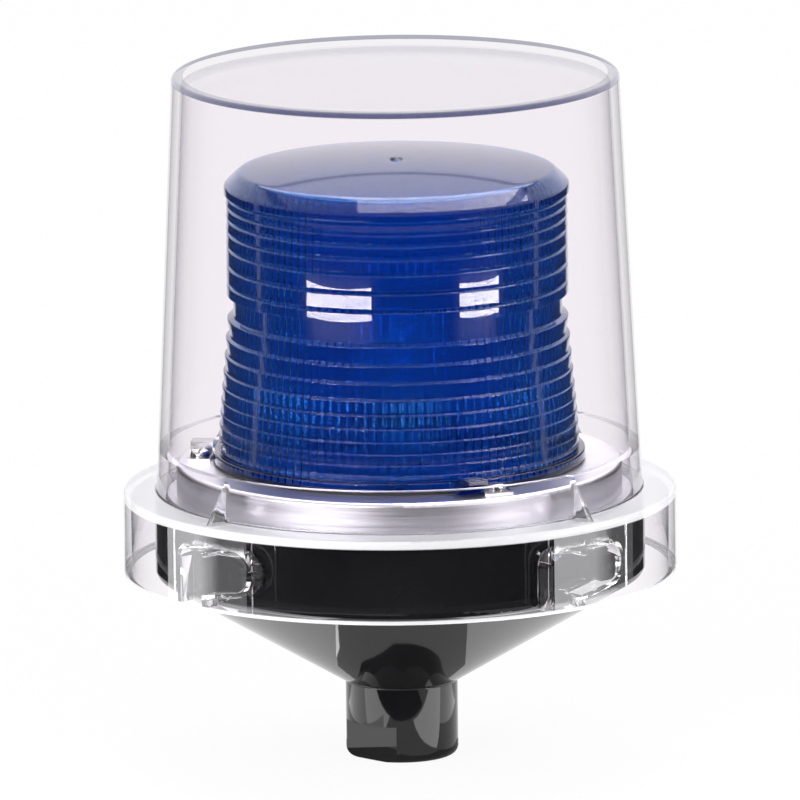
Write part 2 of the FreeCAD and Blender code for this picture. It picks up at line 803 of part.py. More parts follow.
def trigger_wire():
    """A loop of wire round each leg, on a post beside it."""
    foot_z = tube_foot_z + tube_base_height
    loop_z = foot_z + trigger_ring_height
    loop_radius = xenon_radius + trigger_ring_gap + trigger_wire_radius
    loops = []
    for side in (-1, 1):
        loop = Part.makeTorus(loop_radius, trigger_wire_radius,
                              Vector(side * xenon_half_spacing, 0, loop_z), UP)
        post = rod(trigger_wire_radius, foot_z, loop_z, side * xenon_half_spacing, -loop_radius)
        loops.append(fused(loop, [post]))
    return group(loops)


def circuit_board():
    """Round power supply board."""
    board = rod(board_radius, board_under_z, board_top_z)
    low = board_under_z - cut_past
    high = board_top_z + cut_past
    hole = rod(screw_radius + thread_fit, low, high, 0, -standoff_ring_radius)
    tail_hole = rod(contact_tail_radius + contact_tail_gap, low, high, 0, -contact_ring_radius)
    notch = rod(pillar_radius + board_pillar_gap, low, high, 0, -pillar_ring_radius)
    cuts = around(hole, standoff_bearings) + around(tail_hole, pillar_bearings)
    return board.cut(cuts + around(notch, pillar_bearings))


def board_standoffs():
    """Spacers between the pan and the board."""
    post = rod(standoff_radius, board_top_z, pan_under_z, 0, -standoff_ring_radius)
    bore = rod(screw_radius + thread_fit, board_top_z - cut_past, board_top_z + screw_length, 0,
               -standoff_ring_radius)
    return group(around(post.cut(bore), standoff_bearings))


def board_screws():
    """Screws from below through the board into the standoffs."""
    screw = screw_at(pan_head_screw(board_screw_length + board_thickness), 0, -standoff_ring_radius,
                     board_under_z, upside_down=True)
    return group(around(screw, standoff_bearings))


def storage_capacitors():
    """Two round cans that hang under the board."""
    low = board_under_z - capacitor_height
    cans = []
    for side in (-1, 1):
        can = spin([(0, low), (capacitor_radius, low, capacitor_round),
                    (capacitor_radius, board_under_z), (0, board_under_z)])
        can.translate(Vector(side * capacitor_spread, capacitor_back, 0))
        cans.append(can)
    return group(cans)


def power_transformer():
    """Inverter transformer: a winding block between the limbs of its core."""
    low = board_under_z - transformer_height
    winding = soft_block(transformer_width - 2 * transformer_core_side, transformer_depth,
                         low + transformer_core_side / 2, board_under_z, 0, -transformer_front, winding_round)
    limb_x = (transformer_width - transformer_core_side) / 2
    limbs = [soft_block(transformer_core_side, transformer_core_depth, low, board_under_z,
                        side * limb_x, -transformer_front) for side in (-1, 1)]
    yoke = soft_block(transformer_width, transformer_core_depth, low, low + transformer_core_side, 0,
                      -transformer_front)
    return fused(winding, limbs + [yoke])


def trigger_transformer():
    """Potted trigger block on top of the board."""
    return soft_block(trigger_block_width, trigger_block_depth, board_top_z,
                      board_top_z + trigger_block_height, trigger_block_side, 0, trigger_block_round)


def power_resistor():
    """Ceramic resistor on four short feet, on top of the board."""
    low = board_top_z + resistor_stand
    body = soft_block(resistor_section, resistor_length, low, low + resistor_section, -resistor_side, 0)
    feet = [soft_block(resistor_foot_side, resistor_foot_side, board_top_z, low + resistor_stand,
                       -resistor_side + x, y, resistor_foot_round)
            for x in (-resistor_section / 3, resistor_section / 3)
            for y in (-resistor_length / 3, resistor_length / 3)]
    return fused(body, feet)


def heat_sink():
    """Bent aluminium bracket under the board, with a hole for the transistor's screw."""
    sides = (-heat_sink_width / 2, heat_sink_width / 2)
    outer = heat_sink_side + heat_sink_sheet
    upright = block(sides, (heat_sink_side, outer), board_under_z - heat_sink_height, board_under_z)
    foot = block(sides, (heat_sink_side - heat_sink_foot, outer),
                 board_under_z - heat_sink_sheet, board_under_z)
    return turned(fused(upright, [foot]).cut(transistor_hole()), heat_sink_bearing)


def transistor_hole():
    """The screw's way through the tab and the bracket, at the front."""
    return Part.makeCylinder(screw_radius + thread_fit, transistor_thickness + 3 * heat_sink_sheet,
                             Vector(0, -heat_sink_side - 2 * heat_sink_sheet, transistor_hole_z()),
                             Vector(0, 1, 0))


def transistor_low_z():
    """Height of the transistor's lower end."""
    return board_under_z - transistor_top_gap - transistor_height


def transistor_hole_z():
    """Height of the hole in the transistor's tab."""
    return transistor_low_z() + transistor_hole_drop


def power_transistor():
    """Switching transistor, flat on the bracket's inner face."""
    low = transistor_low_z()
    tab_top = low + 2 * transistor_hole_drop
    sides = (-transistor_width / 2, transistor_width / 2)
    tab = block(sides, (heat_sink_side - transistor_tab, heat_sink_side), low, tab_top)
    case = block(sides, (heat_sink_side - transistor_thickness, heat_sink_side),
                 tab_top, low + transistor_height)
    leg_middle = heat_sink_side - transistor_thickness / 2
    legs = [block((x - transistor_leg / 2, x + transistor_leg / 2),
                  (leg_middle - transistor_leg / 2, leg_middle + transistor_leg / 2),
                  low + transistor_height, board_under_z - heat_sink_sheet)
            for x in (-transistor_leg_pitch, 0, transistor_leg_pitch)]
    return turned(fused(tab, [case] + legs).cut(transistor_hole()), heat_sink_bearing)


def transistor_screw():
    """Screw through the tab into the bracket."""
    screw = pan_head_screw(transistor_tab + heat_sink_sheet + transistor_screw_end,
                           head=transistor_screw_head)
    screw.rotate(ORIGIN, Vector(1, 0, 0), -90)
    screw.translate(Vector(0, -heat_sink_side + transistor_tab, transistor_hole_z()))
    return turned(screw, heat_sink_bearing)


def fuse():
    """Glass cartridge fuse with a metal cap at each end."""
    z = board_top_z + fuse_clip_rise
    y = fuse_back
    glass = Part.makeCylinder(fuse_radius - fuse_cap_wall, fuse_length, Vector(-fuse_length / 2, y, z),
                              Vector(1, 0, 0))
    caps = [Part.makeCylinder(fuse_radius, fuse_cap_length, Vector(x, y, z), Vector(1, 0, 0))
            for x in (-fuse_length / 2, fuse_length / 2 - fuse_cap_length)]
    return fused(glass, caps)


def fuse_clips():
    """A sprung clip under each end of the fuse."""
    z = board_top_z + fuse_clip_rise
    clips = []
    for side in (-1, 1):
        x = side * (fuse_length - fuse_cap_length) / 2 - fuse_clip_width / 2
        hug = Part.makeCylinder(fuse_radius + fuse_clip_sheet + fuse_clip_gap, fuse_clip_width,
                                Vector(x, fuse_back, z), Vector(1, 0, 0))
        opening = Part.makeBox(fuse_clip_width + 2 * cut_past, 4 * fuse_radius, 2 * fuse_radius,
                               Vector(x - cut_past, fuse_back - 2 * fuse_radius, z + fuse_clip_mouth_rise))
        seat = Part.makeCylinder(fuse_radius + fuse_clip_gap, fuse_clip_width + 2 * cut_past,
                                 Vector(x - cut_past, fuse_back, z), Vector(1, 0, 0))
        foot = Part.makeBox(fuse_clip_width, 2 * fuse_radius, fuse_clip_rise - fuse_radius,
                            Vector(x, fuse_back - fuse_radius, board_top_z))
        clips.append(fused(hug, [foot]).cut([opening, seat]))
    return group(clips)


def terminal_places():
    """The y of each way of the terminal block."""
    first = -terminal_front - (terminal_count - 1) * terminal_pitch / 2
    return [first + index * terminal_pitch for index in range(terminal_count)]


def terminal_block():
    """Clamp block under the board, its wire mouths towards the axis and its screws from below."""
    low = board_under_z - terminal_height
    length = (terminal_count - 1) * terminal_pitch + 2 * terminal_end_margin
    body = soft_block(terminal_depth, length, low, board_under_z, terminal_side, -terminal_front)
    cuts = []
    for y in terminal_places():
        mouth = Vector(terminal_side - terminal_depth / 2 - cut_past, y, board_under_z - terminal_wire_drop)
        cuts.append(Part.makeCylinder(terminal_wire_radius, terminal_wire_depth, mouth, Vector(1, 0, 0)))
        cuts.append(rod(terminal_screw_radius + thread_fit, low - cut_past, low + terminal_screw_length,
                        terminal_side, y))
    return body.cut(cuts)


def terminal_screws():
    """Slotted clamp screws of the terminal block, just inside its lower face."""
    low = board_under_z - terminal_height + terminal_screw_inset
    screws = []
    for y in terminal_places():
        screw = rod(terminal_screw_radius, low, low + terminal_screw_length - terminal_screw_inset,
                    terminal_side, y)
        slot = Part.makeBox(2 * terminal_screw_radius, screw_slot_width, screw_slot_depth,
                            Vector(terminal_side - terminal_screw_radius, y - screw_slot_width / 2, low))
        screws.append(screw.cut(slot))
    return group(screws)


def ground_screw():
    """Green screw on the boss inside the housing."""
    x, y = on_ring(ground_boss_ring_radius, ground_boss_bearing)
    top_z = cone_inner_z(ground_boss_ring_radius) + ground_boss_rise
    return screw_at(pan_head_screw(ground_screw_length, head=ground_screw_head), x, y, top_z)


NODES = {
    "base_housing": base_housing,
    "dome_gasket": dome_gasket,
    "outer_dome": outer_dome,
    "dome_foot": dome_foot,
    "chassis_pan": chassis_pan,
    "chassis_screws": chassis_screws,
    "lens_gasket": lens_gasket,
    "blue_lens": blue_lens,
    "lens_clips": lens_clips,
    "lens_screws": lens_screws,
    "tube_socket": tube_socket,
    "socket_screws": socket_screws,
    "socket_contacts": socket_contacts,
    "tube_base": tube_base,
    "tube_pins": tube_pins,
    "tube_cover": tube_cover,
    "xenon_tube": xenon_tube,
    "tube_electrodes": tube_electrodes,
    "trigger_wire": trigger_wire,
    "circuit_board": circuit_board,
    "board_standoffs": board_standoffs,
    "board_screws": board_screws,
    "storage_capacitors": storage_capacitors,
    "power_transformer": power_transformer,
    "trigger_transformer": trigger_transformer,
    "power_resistor": power_resistor,
    "heat_sink": heat_sink,
    "power_transistor": power_transistor,
    "transistor_screw": transistor_screw,
    "fuse": fuse,
    "fuse_clips": fuse_clips,
    "terminal_block": terminal_block,
    "terminal_screws": terminal_screws,
    "ground_screw": ground_screw,
}

os.makedirs("parts", exist_ok=True)
for name, make in NODES.items():
    shape = make()
    box = shape.BoundBox
    print(f"{name}: {len(shape.Solids)} solids, {shape.Volume:.0f} mm3, valid {shape.isValid()}, "
          f"z {box.ZMin:.1f} to {box.ZMax:.1f}, x {box.XMin:.1f} to {box.XMax:.1f}")
    shape.exportStep(f"parts/{name}.step")
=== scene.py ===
"""Looks of a pipe-mounted strobe light: clear outer dome, blue ring lens, black casting."""

from __future__ import annotations

import json
import logging
import math
from abc import ABC, abstractmethod
from dataclasses import dataclass
from enum import Enum, IntEnum
from typing import Callable, Iterable, Sequence

import bmesh
import bpy
from mathutils import Matrix, Vector

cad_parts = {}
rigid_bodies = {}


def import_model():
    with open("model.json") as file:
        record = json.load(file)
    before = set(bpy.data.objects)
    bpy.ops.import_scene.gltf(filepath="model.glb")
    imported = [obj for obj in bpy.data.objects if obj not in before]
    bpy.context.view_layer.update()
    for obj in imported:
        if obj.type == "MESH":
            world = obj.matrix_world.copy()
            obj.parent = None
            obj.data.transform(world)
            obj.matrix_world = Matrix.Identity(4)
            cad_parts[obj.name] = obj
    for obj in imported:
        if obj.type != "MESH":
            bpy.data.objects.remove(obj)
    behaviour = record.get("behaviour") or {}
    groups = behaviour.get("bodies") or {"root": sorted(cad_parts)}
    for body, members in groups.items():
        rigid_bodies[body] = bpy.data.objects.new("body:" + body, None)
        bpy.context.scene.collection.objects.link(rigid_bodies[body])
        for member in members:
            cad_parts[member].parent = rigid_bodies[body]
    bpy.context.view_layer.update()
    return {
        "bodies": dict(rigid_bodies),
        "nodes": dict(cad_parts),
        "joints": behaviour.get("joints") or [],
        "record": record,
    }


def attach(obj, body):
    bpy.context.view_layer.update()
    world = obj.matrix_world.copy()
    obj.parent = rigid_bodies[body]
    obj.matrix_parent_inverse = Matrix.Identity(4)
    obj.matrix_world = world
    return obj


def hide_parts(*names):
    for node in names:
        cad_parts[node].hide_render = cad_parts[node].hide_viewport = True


LOG = logging.getLogger("strobe_light")
MM = 0.001
WHITE = (1.0, 1.0, 1.0, 1.0)
NODE_SPACING = 180
WIDE_FACE_WEIGHT = 100
NOISE_RANGE = (0.3, 0.7)
CLOUD_SCALE = 45.0
CLOUD_RANGE = (0.35, 0.75)
ON_AXIS = 1e-6
ROUND_SHARE = 0.45
JOIN_DISTANCE = 1e-6
LEAST_EDGE = 1e-7
LEVEL_SLACK = 1e-5

Colour = tuple[float, float, float]
Point = tuple[float, float]
Corner = tuple[float, ...]
Ring = list[bmesh.types.BMVert]
Node = bpy.types.Node
Socket = bpy.types.NodeSocket
Mesh = bpy.types.Mesh
Piece = bpy.types.Object


def rgba(colour: Colour) -> tuple[float, float, float, float]:
    """A colour with full opacity, as sockets want it."""
    return (*colour, 1.0)


# ----------------------------------------------------------------- node groups


class SocketKind(Enum):
    """Socket types of the node groups."""

    FLOAT = "NodeSocketFloat"
    COLOUR = "NodeSocketColor"
    VECTOR = "NodeSocketVector"
    MATERIAL = "NodeSocketMaterial"
    GEOMETRY = "NodeSocketGeometry"


GROUP_OUTPUTS = {"Colour": SocketKind.COLOUR, "Roughness": SocketKind.FLOAT,
                 "Height": SocketKind.FLOAT}


class Graph:
    """A node tree under construction, with short calls for nodes and links."""

    def __init__(self, tree: bpy.types.NodeTree) -> None:
        """Keep the tree.

        Args:
            tree: The tree that nodes are added to.
        """
        self.tree = tree
        self.column = 0

    def node(self, kind: str, inputs: dict[str | int, object] | None = None,
             **settings: object) -> Node:
        """Add a node.

        Args:
            kind: The node's type name.
            inputs: A socket to link or a plain value for inputs, by name or number.
            settings: Attributes to set on it.

        Returns:
            The new node.
        """
        made = self.tree.nodes.new(kind)
        self.column += 1
        made.location = (self.column * NODE_SPACING, 0)
        for name, value in settings.items():
            setattr(made, name, value)
        for key, value in (inputs or {}).items():
            if isinstance(value, Socket):
                self.tree.links.new(value, made.inputs[key])
            else:
                made.inputs[key].default_value = value
        return made

    def math(self, operation: str, *values: object) -> Socket:
        """A Math node.

        Args:
            operation: Blender's name of the operation.
            values: Sockets or numbers.

        Returns:
            The output socket.
        """
        return self.node("ShaderNodeMath", dict(enumerate(values)), operation=operation).outputs[0]

    def ramp(self, value: object, low: float, high: float, out_low: float = 0.0,
             out_high: float = 1.0) -> Socket:
        """Map a range onto another one, clamped.

        Args:
            value: What is mapped.
            low: Least value that counts.
            high: Greatest value that counts.
            out_low: Result at low.
            out_high: Result at high.

        Returns:
            The output socket.
        """
        inputs = dict(enumerate((value, low, high, out_low, out_high)))
        return self.node("ShaderNodeMapRange", inputs).outputs[0]

    def mix(self, factor: object, first: object, second: object) -> Socket:
        """Mix two colours.

        Args:
            factor: Share of the second.
            first: A colour or socket.
            second: A colour or socket.

        Returns:
            The output socket.
        """
        inputs = {"Factor": factor, "A": first, "B": second}
        made = self.node("ShaderNodeMix", inputs, data_type="RGBA")
        return next(out for out in made.outputs if out.type == "RGBA")

    def blend(self, factor: object, first: Node, second: Node) -> Node:
        """Mix two shaders.

        Args:
            factor: Share of the second.
            first: A shader.
            second: A shader.

        Returns:
            The mixed shader.
        """
        inputs = {0: factor, 1: first.outputs[0], 2: second.outputs[0]}
        return self.node("ShaderNodeMixShader", inputs)

    def noise(self, vector: object, scale: object, detail: float = 3.0) -> Socket:
        """Noise on a vector.

        Args:
            vector: Coordinates.
            scale: Scale of the noise.
            detail: Number of octaves.

        Returns:
            The noise's value.
        """
        inputs = {"Vector": vector, "Scale": scale, "Detail": detail}
        return self.node("ShaderNodeTexNoise", inputs).outputs[0]

    def place(self) -> Socket:
        """Object coordinates."""
        return self.node("ShaderNodeTexCoord").outputs["Object"]

    def bumped(self, height: Socket, strength: float, depth: float) -> Socket:
        """A normal bent by a height.

        Args:
            height: Height, about 0 to 1.
            strength: Strength of the bump.
            depth: Depth in metres that a height of 1 stands for.

        Returns:
            The normal.
        """
        inputs = {"Strength": strength, "Distance": depth, "Height": height}
        return self.node("ShaderNodeBump", inputs).outputs["Normal"]


GroupMaker = Callable[[Graph, Node], dict[str, Socket]]


def new_group(name: str, kind: str, inputs: dict[str, SocketKind],
              outputs: dict[str, SocketKind]) -> bpy.types.NodeTree:
    """An empty node group with its sockets.

    Args:
        name: The group's name.
        kind: The tree's type name.
        inputs: Input names with their kinds.
        outputs: Output names with their kinds.

    Returns:
        The group.
    """
    group = bpy.data.node_groups.new(name, kind)
    for side, sockets in (("INPUT", inputs), ("OUTPUT", outputs)):
        for label, socket in sockets.items():
            group.interface.new_socket(label, in_out=side, socket_type=socket.value)
    return group


def shader_group(make: GroupMaker, inputs: dict[str, object]) -> bpy.types.NodeTree:
    """Build a shader group once, named after the function that fills it.

    Args:
        make: Fills the tree and returns what each output shows.
        inputs: What the inputs will get, a colour or a number each.

    Returns:
        The group, the same one at each call.
    """
    group = bpy.data.node_groups.get(make.__name__)
    if group is not None:
        return group
    kinds = {label: SocketKind.COLOUR if isinstance(value, tuple) else SocketKind.FLOAT
             for label, value in inputs.items()}
    group = new_group(make.__name__, "ShaderNodeTree", kinds, GROUP_OUTPUTS)
    tree = Graph(group)
    tree.node("NodeGroupOutput", make(tree, tree.node("NodeGroupInput")))
    return group


def roughened(tree: Graph, entry: Node, pattern: Socket) -> Socket:
    """The group's roughness, raised and lowered by a pattern about 0.5.

    Args:
        tree: The group's tree.
        entry: Its input node.
        pattern: The pattern's value.

    Returns:
        The roughness.
    """
    spread = tree.math("SUBTRACT", pattern, 0.5)
    return tree.math("MULTIPLY_ADD", spread, entry.outputs["Roughness Spread"],
                     entry.outputs["Roughness"])


def moulded_skin(tree: Graph, entry: Node) -> dict[str, Socket]:
    """Fill the group for moulded, cast and coated skins: slow colour drift, and fine grain.

    Args:
        tree: The group's tree.
        entry: Its input node.

    Returns:
        What each output shows.
    """
    given, place = entry.outputs, tree.place()
    drift = tree.noise(place, given["Drift Scale"], detail=2.0)
    grain = tree.noise(place, given["Grain Scale"], detail=4.0)
    colour = tree.mix(tree.ramp(drift, *NOISE_RANGE), given["Colour"], given["Second Colour"])
    return {"Colour": colour, "Roughness": roughened(tree, entry, grain), "Height": grain}


def brushed_metal(tree: Graph, entry: Node) -> dict[str, Socket]:
    """Fill the group for turned or drawn metal: streaks round the part's axis, and tarnish.

    Args:
        tree: The group's tree.
        entry: Its input node.

    Returns:
        What each output shows.
    """
    given, place = entry.outputs, tree.place()
    x, y, z = tree.node("ShaderNodeSeparateXYZ", {0: place}).outputs
    across, away = tree.math("MULTIPLY", x, x), tree.math("MULTIPLY", y, y)
    radius = tree.math("SQRT", tree.math("ADD", across, away))
    angle = tree.math("ARCTAN2", y, x)
    turned = tree.node("ShaderNodeCombineXYZ", {
        "X": tree.math("MULTIPLY", radius, given["Ring Scale"]),
        "Y": tree.math("MULTIPLY", angle, given["Angle Scale"]),
        "Z": tree.math("MULTIPLY", z, given["Height Scale"])})
    streak = tree.noise(turned.outputs[0], 1.0)
    cloud = tree.ramp(tree.noise(place, CLOUD_SCALE), *CLOUD_RANGE)
    colour = tree.mix(cloud, given["Colour"], given["Second Colour"])
    return {"Colour": colour, "Roughness": roughened(tree, entry, streak), "Height": streak}


# ------------------------------------------------------------------- finishes


@dataclass(frozen=True)
class Finish(ABC):
    """A finish, which builds a material of its name."""

    name: str

    @abstractmethod
    def shader(self, tree: Graph) -> Node:
        """Add the finish's nodes.

        Args:
            tree: The material's tree.

        Returns:
            The shader of the surface.
        """

    def build(self) -> bpy.types.Material:
        """Make the material.

        Returns:
            The material.
        """
        material = bpy.data.materials.new(self.name)
        material.use_nodes = True
        material.node_tree.nodes.clear()
        tree = Graph(material.node_tree)
        tree.node("ShaderNodeOutputMaterial", {"Surface": self.shader(tree).outputs[0]})
        return material


@dataclass(frozen=True)
class PatternFinish(Finish):
    """An opaque finish: a group gives its colour, roughness and relief."""

    colour: Colour
    second: Colour
    roughness: float = 0.4
    spread: float = 0.1
    bump: float = 0.15
    depth: float = 0.00005

    def patterned(self, tree: Graph, make: GroupMaker, scales: dict[str, float],
                  surface: dict[str, float]) -> Node:
        """A Principled shader that a group feeds.

        Args:
            tree: The material's tree.
            make: Fills the group.
            scales: The group's scales.
            surface: Inputs of the shader that the group leaves.

        Returns:
            The shader.
        """
        inputs = {"Colour": rgba(self.colour), "Second Colour": rgba(self.second),
                  "Roughness": self.roughness, "Roughness Spread": self.spread, **scales}
        skin = tree.node("ShaderNodeGroup", inputs, node_tree=shader_group(make, inputs)).outputs
        return tree.node("ShaderNodeBsdfPrincipled", {
            "Base Color": skin["Colour"], "Roughness": skin["Roughness"],
            "Normal": tree.bumped(skin["Height"], self.bump, self.depth), **surface})


@dataclass(frozen=True)
class SkinFinish(PatternFinish):
    """Paint, plastic, rubber or ceramic."""

    drift_scale: float = 25.0
    grain_scale: float = 900.0
    coat: float = 0.0
    coat_roughness: float = 0.05
    ior: float = 1.45

    def shader(self, tree: Graph) -> Node:
        """A moulded skin under a coat."""
        return self.patterned(
            tree, moulded_skin, {"Drift Scale": self.drift_scale, "Grain Scale": self.grain_scale},
            {"IOR": self.ior, "Coat Weight": self.coat, "Coat Roughness": self.coat_roughness})


@dataclass(frozen=True)
class MetalFinish(PatternFinish):
    """Bare, plated or pressed metal. Its second colour is its tarnish."""

    roughness: float = 0.3
    spread: float = 0.2
    bump: float = 0.1
    depth: float = 0.00004
    ring_scale: float = 1500.0
    angle_scale: float = 2.0
    height_scale: float = 1500.0

    def shader(self, tree: Graph) -> Node:
        """Brushed metal."""
        return self.patterned(
            tree, brushed_metal, {"Ring Scale": self.ring_scale, "Angle Scale": self.angle_scale,
                                  "Height Scale": self.height_scale}, {"Metallic": 1.0})


@dataclass(frozen=True)
class GlassFinish(Finish):
    """Clear or tinted mouldings and glass that bend what is seen through them."""

    colour: Colour
    roughness: float = 0.0
    ior: float = 1.49
    coat: float = 0.0
    under_coat: float = 1.0
    grain_scale: float = 60.0
    bump: float = 0.02
    depth: float = 0.0002

    def shader(self, tree: Graph) -> Node:
        """Glass with a faint ripple."""
        ripple = tree.noise(tree.place(), self.grain_scale, detail=2.0)
        return tree.node("ShaderNodeBsdfPrincipled", {
            "Base Color": rgba(self.colour), "Roughness": self.roughness, "IOR": self.ior,
            "Transmission Weight": 1.0, "Coat Weight": self.coat, "Coat Roughness": 0.0,
            "Specular Tint": rgba((self.under_coat,) * 3),
            "Normal": tree.bumped(ripple, self.bump, self.depth)})


@dataclass(frozen=True)
class FilmFinish(Finish):
    """A clear wall seen as two thin faces: a faint tint that turns to a painted tone at the edges,
    gloss that grows at the edges, and painted white light.
    """

    tint: Colour
    # The colour at grazing angles is painted: shade on the walls in place of the dark lines that
    # bent light shows at a clear wall's edges, and lighter on the dome's corner.
    painted_edge_tone: Colour
    edge_power: float = 9.0
    gloss_power: float = 7.0
    roughness: float = 0.02
    ripple_scale: float = 12.0
    # Painted light: a white, matt layer mixed over the wall, growing towards its edges.
    painted_light: float = 0.0
    painted_light_power: float = 0.5
    painted_light_colour: Colour = (0.93, 0.93, 0.95)
    painted_light_roughness: float = 0.6

    def painted_light_share(self, tree: Graph, facing: Socket) -> Socket:
        """How much painted white light the wall gets.

        Args:
            tree: The material's tree.
            facing: 0 where the wall faces the viewer and 1 at its edge.

        Returns:
            The share of painted white light.
        """
        return tree.math("MULTIPLY", tree.math("POWER", facing, self.painted_light_power), self.painted_light)

    def shader(self, tree: Graph) -> Node:
        """A tinted clear face, gloss over it, and painted white light over both.

        Args:
            tree: The material's tree.

        Returns:
            The shader.
        """
        facing = tree.node("ShaderNodeLayerWeight", {"Blend": 0.5}).outputs["Facing"]
        edge = tree.math("POWER", facing, self.edge_power)
        # The clear face's tint turns into the painted edge tone at grazing angles.
        tint = tree.mix(edge, rgba(self.tint), rgba(self.painted_edge_tone))
        clear = tree.node("ShaderNodeBsdfTransparent", {"Color": tint})
        ripple = tree.noise(tree.place(), self.ripple_scale, detail=2.0)
        rough = tree.ramp(ripple, *NOISE_RANGE, self.roughness, self.roughness * 2.0)
        gloss = tree.node("ShaderNodeBsdfPrincipled",
                          {"Base Color": WHITE, "Metallic": 1.0, "Roughness": rough})
        wall = tree.blend(tree.math("POWER", facing, self.gloss_power), clear, gloss)
        # Painted light: white over the tinted face and its gloss.
        white = tree.node("ShaderNodeBsdfPrincipled", {"Base Color": rgba(self.painted_light_colour),
                                                       "Roughness": self.painted_light_roughness})
        return tree.blend(self.painted_light_share(tree, facing), wall, white)


@dataclass(frozen=True)
class SkirtFinish(FilmFinish):
    """The skirt's outer face: whiter where light gathers, at the pads and at both rims."""

    pad_spacing: float = 90.0
    pad_half_angle: float = 11.6
    # Painted light: white on the pads, fading across each, above the flange's level and below the
    # foot's level.
    pad_painted_light: float = 0.24
    end_painted_light: float = 0.05
    end_low: float = -1.0
    end_high: float = 4.5
    flange_z: float = 88.6
    flange_painted_light: float = 0.58
    foot_z: float = 64.5
    foot_painted_light: float = 0.65
    half_step: float = 0.2

    def painted_light_share(self, tree: Graph, facing: Socket) -> Socket:
        """How much painted white light the face gets, by its place and whatever its angle.

        Args:
            tree: The material's tree.
            facing: Not used; the share is the same at any angle.

        Returns:
            The share of painted white light.
        """
        x, y, height = tree.node("ShaderNodeSeparateXYZ", {0: tree.place()}).outputs
        turn = tree.math("DEGREES", tree.math("ARCTAN2", y, x))
        along = tree.math("SUBTRACT", tree.math("FLOORED_MODULO", turn, self.pad_spacing),
                          self.pad_spacing / 2)
        inside = tree.math("LESS_THAN", tree.math("ABSOLUTE", along), self.pad_half_angle)
        # Painted light in white: on the pads, over the flange's level and under the foot's level.
        fading = tree.ramp(along, self.end_low, self.end_high, self.pad_painted_light, self.end_painted_light)
        pads = tree.math("MULTIPLY", inside, fading)
        flange, foot = (
            tree.ramp(height, (level - self.half_step) * MM, (level + self.half_step) * MM,
                      below, above)
            for level, below, above in ((self.flange_z, 0.0, self.flange_painted_light),
                                        (self.foot_z, self.foot_painted_light, 0.0)))
        return tree.math("MAXIMUM", pads, tree.math("MAXIMUM", flange, foot))


@dataclass(frozen=True)
class JointFinish(Finish):
    """Nothing to see: the face where the dome's cup and foot are one moulding."""

    def shader(self, tree: Graph) -> Node:
        """A clear face."""
        return tree.node("ShaderNodeBsdfTransparent")


@dataclass(frozen=True)
class GlowFinish(Finish):
    """A card's even glow."""

    strength: float

    def shader(self, tree: Graph) -> Node:
        """White light."""
        return tree.node("ShaderNodeEmission", {"Color": WHITE, "Strength": self.strength})


def seen_directly(tree: Graph) -> Socket:
    """A mask of the rays that meet the background itself: camera, glossy and transmission.

    Args:
        tree: The tree of the floor or of the world.

    Returns:
        1 for such a ray, 0 for another.
    """
    rays = tree.node("ShaderNodeLightPath").outputs
    first = tree.math("MAXIMUM", rays["Is Camera Ray"], rays["Is Glossy Ray"])
    return tree.math("MAXIMUM", first, rays["Is Transmission Ray"])


@dataclass(frozen=True)
class FloorFinish(Finish):
    """A pale floor, nearly white where it is seen."""

    colour: Colour
    fade: float

    def shader(self, tree: Graph) -> Node:
        """Matt paint that fades into white light."""
        paint = tree.node("ShaderNodeBsdfDiffuse", {"Color": rgba(self.colour)})
        return tree.blend(tree.math("MULTIPLY", seen_directly(tree), self.fade), paint,
                          tree.node("ShaderNodeEmission", {"Color": WHITE}))


FOOT_TINT = (0.972, 0.966, 0.974)
# Painted shade at the clear walls' edges, in place of the dark lines that bent light shows there.
PAINTED_EDGE_SHADE = (0.62, 0.61, 0.66)
JOINT = JointFinish("clear_dome_joint")
# The dome's corner is painted: a dark tint where it faces the viewer, painted shade for the dark
# line that the bent rim shows, turning light at grazing angles.
CORNER = FilmFinish("clear_dome_corner", (0.15, 0.16, 0.28), (0.86, 0.86, 0.88), edge_power=2.0)


